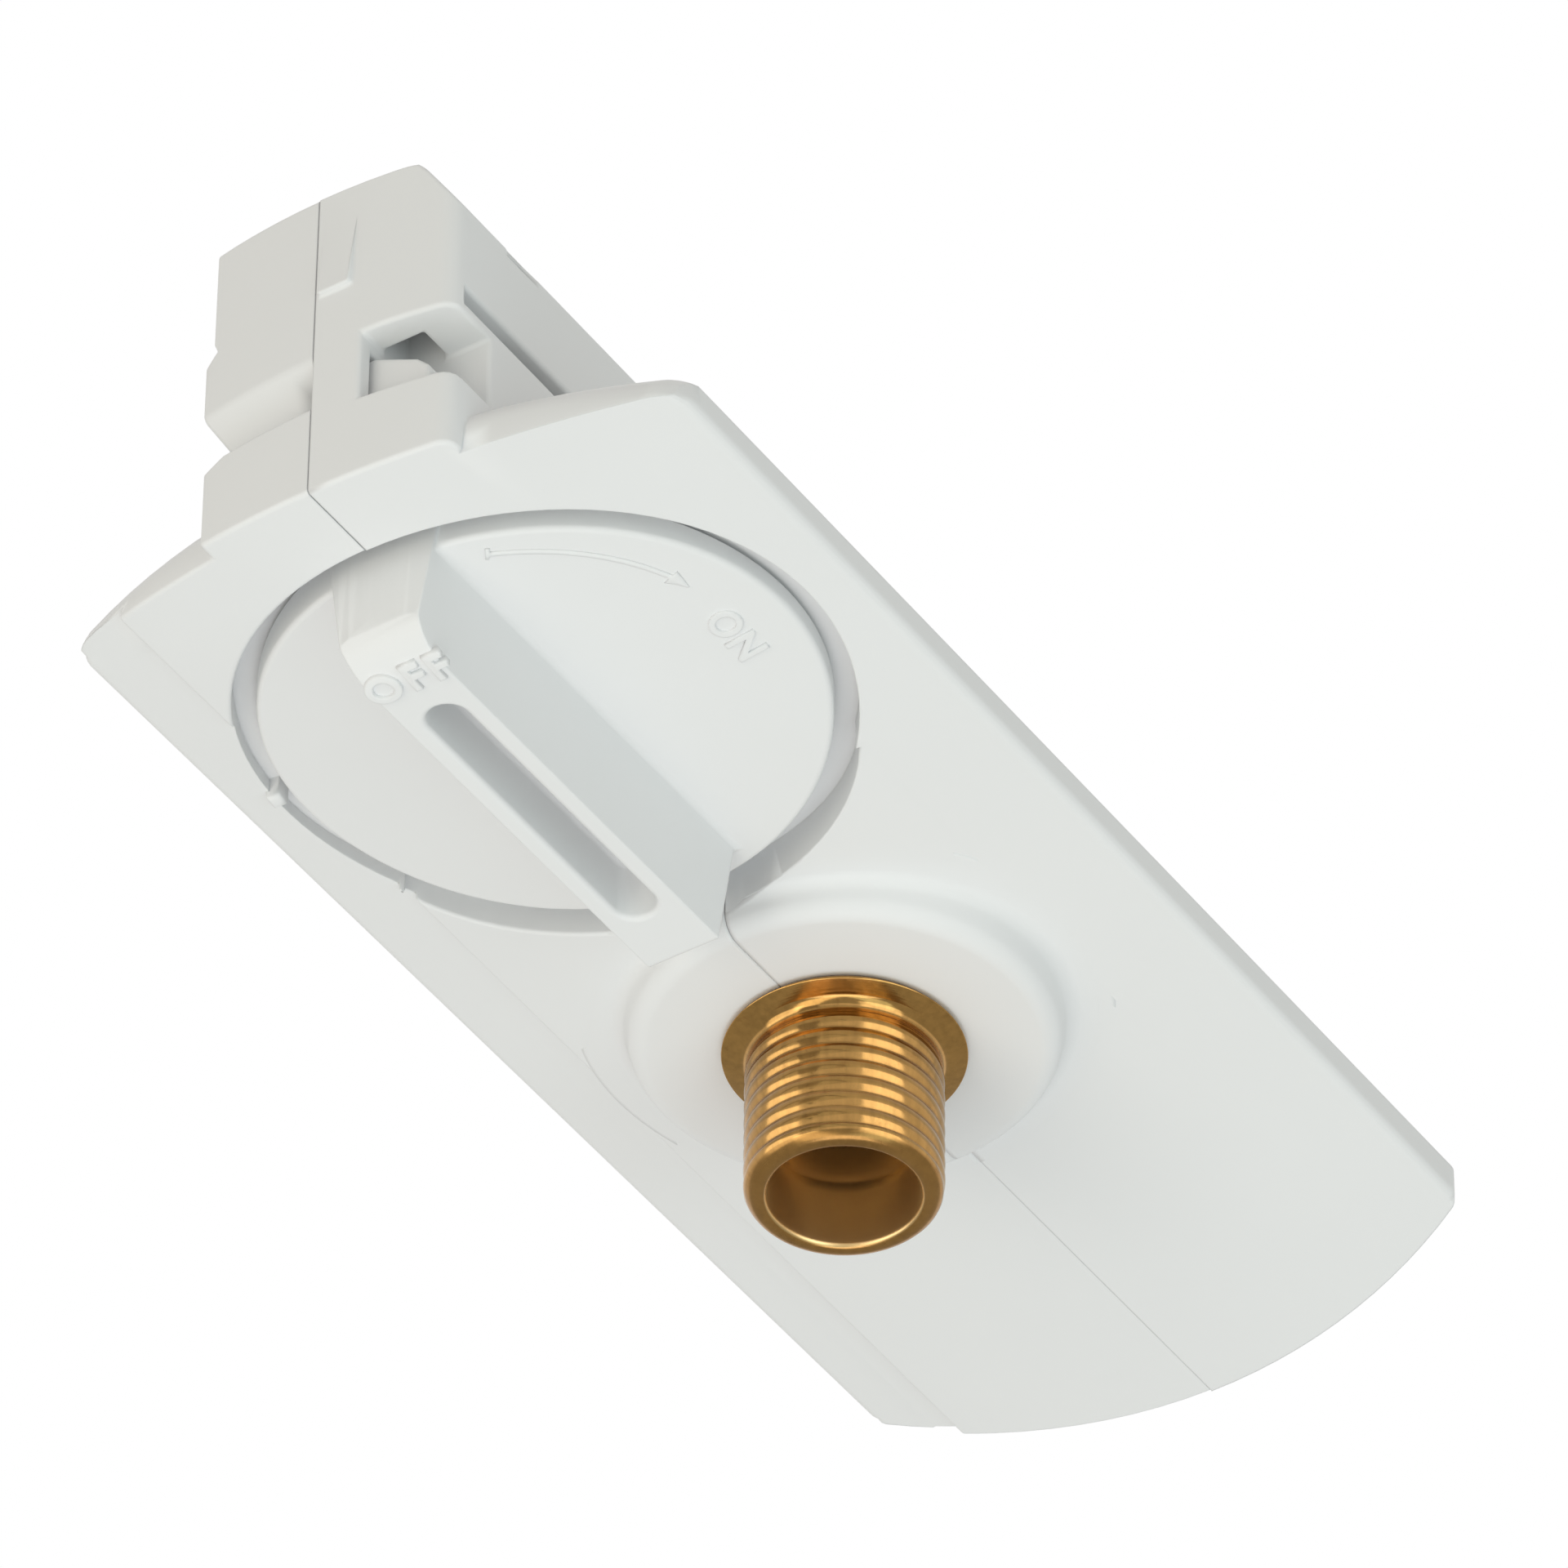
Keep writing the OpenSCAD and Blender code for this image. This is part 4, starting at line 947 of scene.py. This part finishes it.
class ADAPTER_OT_marks(bpy.types.Operator):
    """Raise the two switch words and the arrow on the knob"""

    bl_idname = "adapter.marks"
    bl_label = "Raised marks"

    def execute(self, context):
        sizes = context.scene.adapter_marks
        material = moulded_plastic("raised marks", context.scene.adapter_shell.white)
        nose_start = KNOB_LOW.x + sizes.nose_l

        def disc_face(x, y):
            """The crowned face of the disc."""
            return crown_height(y)

        def grip_face(x, y):
            """The grip's flat underside, which rises in a quarter ellipse over the nose."""
            share = np.clip((nose_start - x) / sizes.nose_l, 0, 1)
            return KNOB_LOW.z + sizes.nose_h * (1 - np.sqrt(1 - share * share))

        on_word = letters("on", "ON", sizes.on_size, sizes.rise, ON_SPACING)
        off_word = letters("off", "OFF", sizes.off_size, sizes.rise * OFF_RISE, OFF_SPACING)
        pieces = [
            laid("on_letters", on_word, (1, 0), (0, -1), ON_PLACE, disc_face, material),
            laid("off_letters", off_word, (0, -1), (-1, 0), OFF_PLACE, grip_face, material),
            self.arrow(sizes, material),
        ]
        for piece in pieces:
            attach(piece, "switch")
        return {"FINISHED"}

    def arrow(self, sizes, material):
        """A line about the knob's axis, drawn in a little towards its end: a short bar as its tail, one
        width up to its head, and a wide head that runs out to a point."""
        stretches = (ARROW_BAR, ARROW_LINE, ARROW_HEAD)
        bar_count, line_count, head_count = (stretch[-1] for stretch in stretches)
        angle = np.radians(np.concatenate([np.linspace(*stretch) for stretch in stretches]))
        radius = np.linspace(sizes.arrow_start, sizes.arrow_end, len(angle))
        path = radius[:, None] * np.stack([np.cos(angle), np.sin(angle)], -1)
        width = np.concatenate([
            np.full(bar_count, BAR_W), np.full(line_count, sizes.arrow_w),
            np.linspace(1, TIP_SHARE, head_count) * HEAD_W])
        plan, rise, faces = ribbon(path, width)
        points = np.column_stack([plan, crown_height(plan[:, 1]) - rise * sizes.rise])
        return mesh_piece("turn_arrow", points, faces, material)


class ADAPTER_OT_nipple(bpy.types.Operator):
    """Turn the threaded brass nipple"""

    bl_idname = "adapter.nipple"
    bl_label = "Brass nipple"

    def execute(self, context):
        sizes = context.scene.adapter_nipple
        points, rows = nipple_points(sizes)
        faces = grid_faces(rows, NIPPLE_STEPS)[:, ::-1]
        nipple = mesh_piece("turned_nipple", points, faces, turned_brass("turned brass", sizes.brass))
        nipple.data.set_sharp_from_angle(angle=math.radians(RIM_ANGLE))
        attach(nipple, "housing")
        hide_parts("cord_nipple")
        return {"FINISHED"}


class ADAPTER_OT_inner_parts(bpy.types.Operator):
    """Give the pieces inside the head their finishes"""

    bl_idname = "adapter.inner_parts"
    bl_label = "Inner parts"

    def execute(self, context):
        for name, colour, roughness, nodes in INNER_METALS:
            material = rolled_metal(name, colour, roughness)
            for node in nodes:
                dress(NODES[node], material)
        dress(NODES["rotor"], moulded_plastic("rotor plastic", ROTOR_COLOUR))
        return {"FINISHED"}


class ADAPTER_OT_stage(bpy.types.Operator):
    """Set the floor, the white surroundings, the soft lamps and the camera"""

    bl_idname = "adapter.stage"
    bl_label = "Stage"

    def execute(self, context):
        sizes = context.scene.adapter_stage
        self.floor(sizes)
        self.surroundings()
        self.lamps(sizes)
        self.camera(context.scene, sizes)
        context.scene.view_settings.view_transform = "Standard"
        return {"FINISHED"}

    def floor(self, sizes):
        """A wide pale plane, well below the adapter."""
        corners = FLOOR_HALF * np.array([[-1, -1], [1, -1], [1, 1], [-1, 1]])
        points = np.column_stack([corners, np.full(len(corners), sizes.floor_z)])
        material, shader, wire = new_finish("pale floor", {"Roughness": FLOOR_ROUGHNESS})
        shade = object_place(wire).cloud(FLOOR_CLOUDS)
        feed(shader, {"Base Color": wire.mix(shade, FLOOR_DARK, FLOOR_LIGHT)})
        floor = mesh_piece("floor", points, np.array([[0, 1, 2, 3]]), material, False)

    def surroundings(self):
        """White where the camera or a reflection sees it, and an even grey light elsewhere."""
        world = bpy.data.worlds.new("studio")
        world.use_nodes = True
        wire = Wire(world.node_tree)
        seen = wire.node("ShaderNodeLightPath", output="Is Camera Ray")
        for ray in ("Is Glossy Ray", "Is Transmission Ray"):
            seen = wire.math("MAXIMUM", seen, wire.node("ShaderNodeLightPath", output=ray))
        feed(world.node_tree.nodes["Background"], {"Color": wire.mix(seen, AMBIENT, WHITE)})
        bpy.context.scene.world = world

    def lamps(self, sizes):
        """A warm and a cool soft box beside the camera, one underneath, and a strip on each hand that only
        gloss and metal show."""
        target = Vector(sizes.target)
        for name, place, size, power, tint, lights in LAMPS:
            lamp = bpy.data.lights.new(name, "AREA")
            lamp.shape = "RECTANGLE"
            lamp.size, lamp.size_y = size
            lamp.energy = power
            lamp.color = tint
            holder = new_object(name, lamp)
            holder.location = place
            holder.visible_diffuse = lights
            holder.rotation_euler = (target - Vector(place)).to_track_quat("-Z", "Y").to_euler()

    def camera(self, scene, sizes):
        """A long lens, aimed from below and beside the knob."""
        lens = bpy.data.cameras.new("camera")
        lens.lens = sizes.lens
        lens.sensor_width = SENSOR_W
        lens.clip_end = SIGHT
        flat = math.cos(sizes.elevation)
        sideways, forwards = math.sin(sizes.azimuth) * flat, -math.cos(sizes.azimuth) * flat
        back = Vector((sideways, forwards, math.sin(sizes.elevation)))
        turn = (-back).to_track_quat("-Z", "Y").to_matrix().to_4x4()
        holder = new_object("camera", lens)
        place = Matrix.Translation(Vector(sizes.target) + back * sizes.distance)
        holder.matrix_world = place @ turn @ Matrix.Rotation(sizes.roll, 4, "Z")
        scene.camera = holder


OPERATORS = (
    ADAPTER_OT_shells,
    ADAPTER_OT_boss,
    ADAPTER_OT_knob,
    ADAPTER_OT_marks,
    ADAPTER_OT_nipple,
    ADAPTER_OT_inner_parts,
    ADAPTER_OT_stage,
)


class ADAPTER_PT_panel(bpy.types.Panel):
    """Lists the sizes and the pieces"""

    bl_idname = "ADAPTER_PT_panel"
    bl_label = "Track light adapter"
    bl_space_type = "VIEW_3D"
    bl_region_type = "UI"
    bl_category = "Adapter"

    def draw(self, context):
        for name, group in PROPERTY_GROUPS.items():
            box = self.layout.box()
            for size in group.__annotations__:
                box.prop(getattr(context.scene, name), size)
        for operator in OPERATORS:
            self.layout.operator(operator.bl_idname)


def register():
    """Registers the property groups, the operators and the panel."""
    for name, group in PROPERTY_GROUPS.items():
        bpy.utils.register_class(group)
        setattr(bpy.types.Scene, name, bpy.props.PointerProperty(type=group))
    for kind in (*OPERATORS, ADAPTER_PT_panel):
        bpy.utils.register_class(kind)


def unregister():
    """Takes back what register() did."""
    for kind in (ADAPTER_PT_panel, *reversed(OPERATORS)):
        bpy.utils.unregister_class(kind)
    for name, group in PROPERTY_GROUPS.items():
        delattr(bpy.types.Scene, name)
        bpy.utils.unregister_class(group)


def main():
    """Builds every piece in order."""
    register()
    bpy.ops.adapter.shells()
    bpy.ops.adapter.boss()
    bpy.ops.adapter.knob()
    bpy.ops.adapter.marks()
    bpy.ops.adapter.nipple()
    bpy.ops.adapter.inner_parts()
    bpy.ops.adapter.stage()


if __name__ == "__main__":
    main()
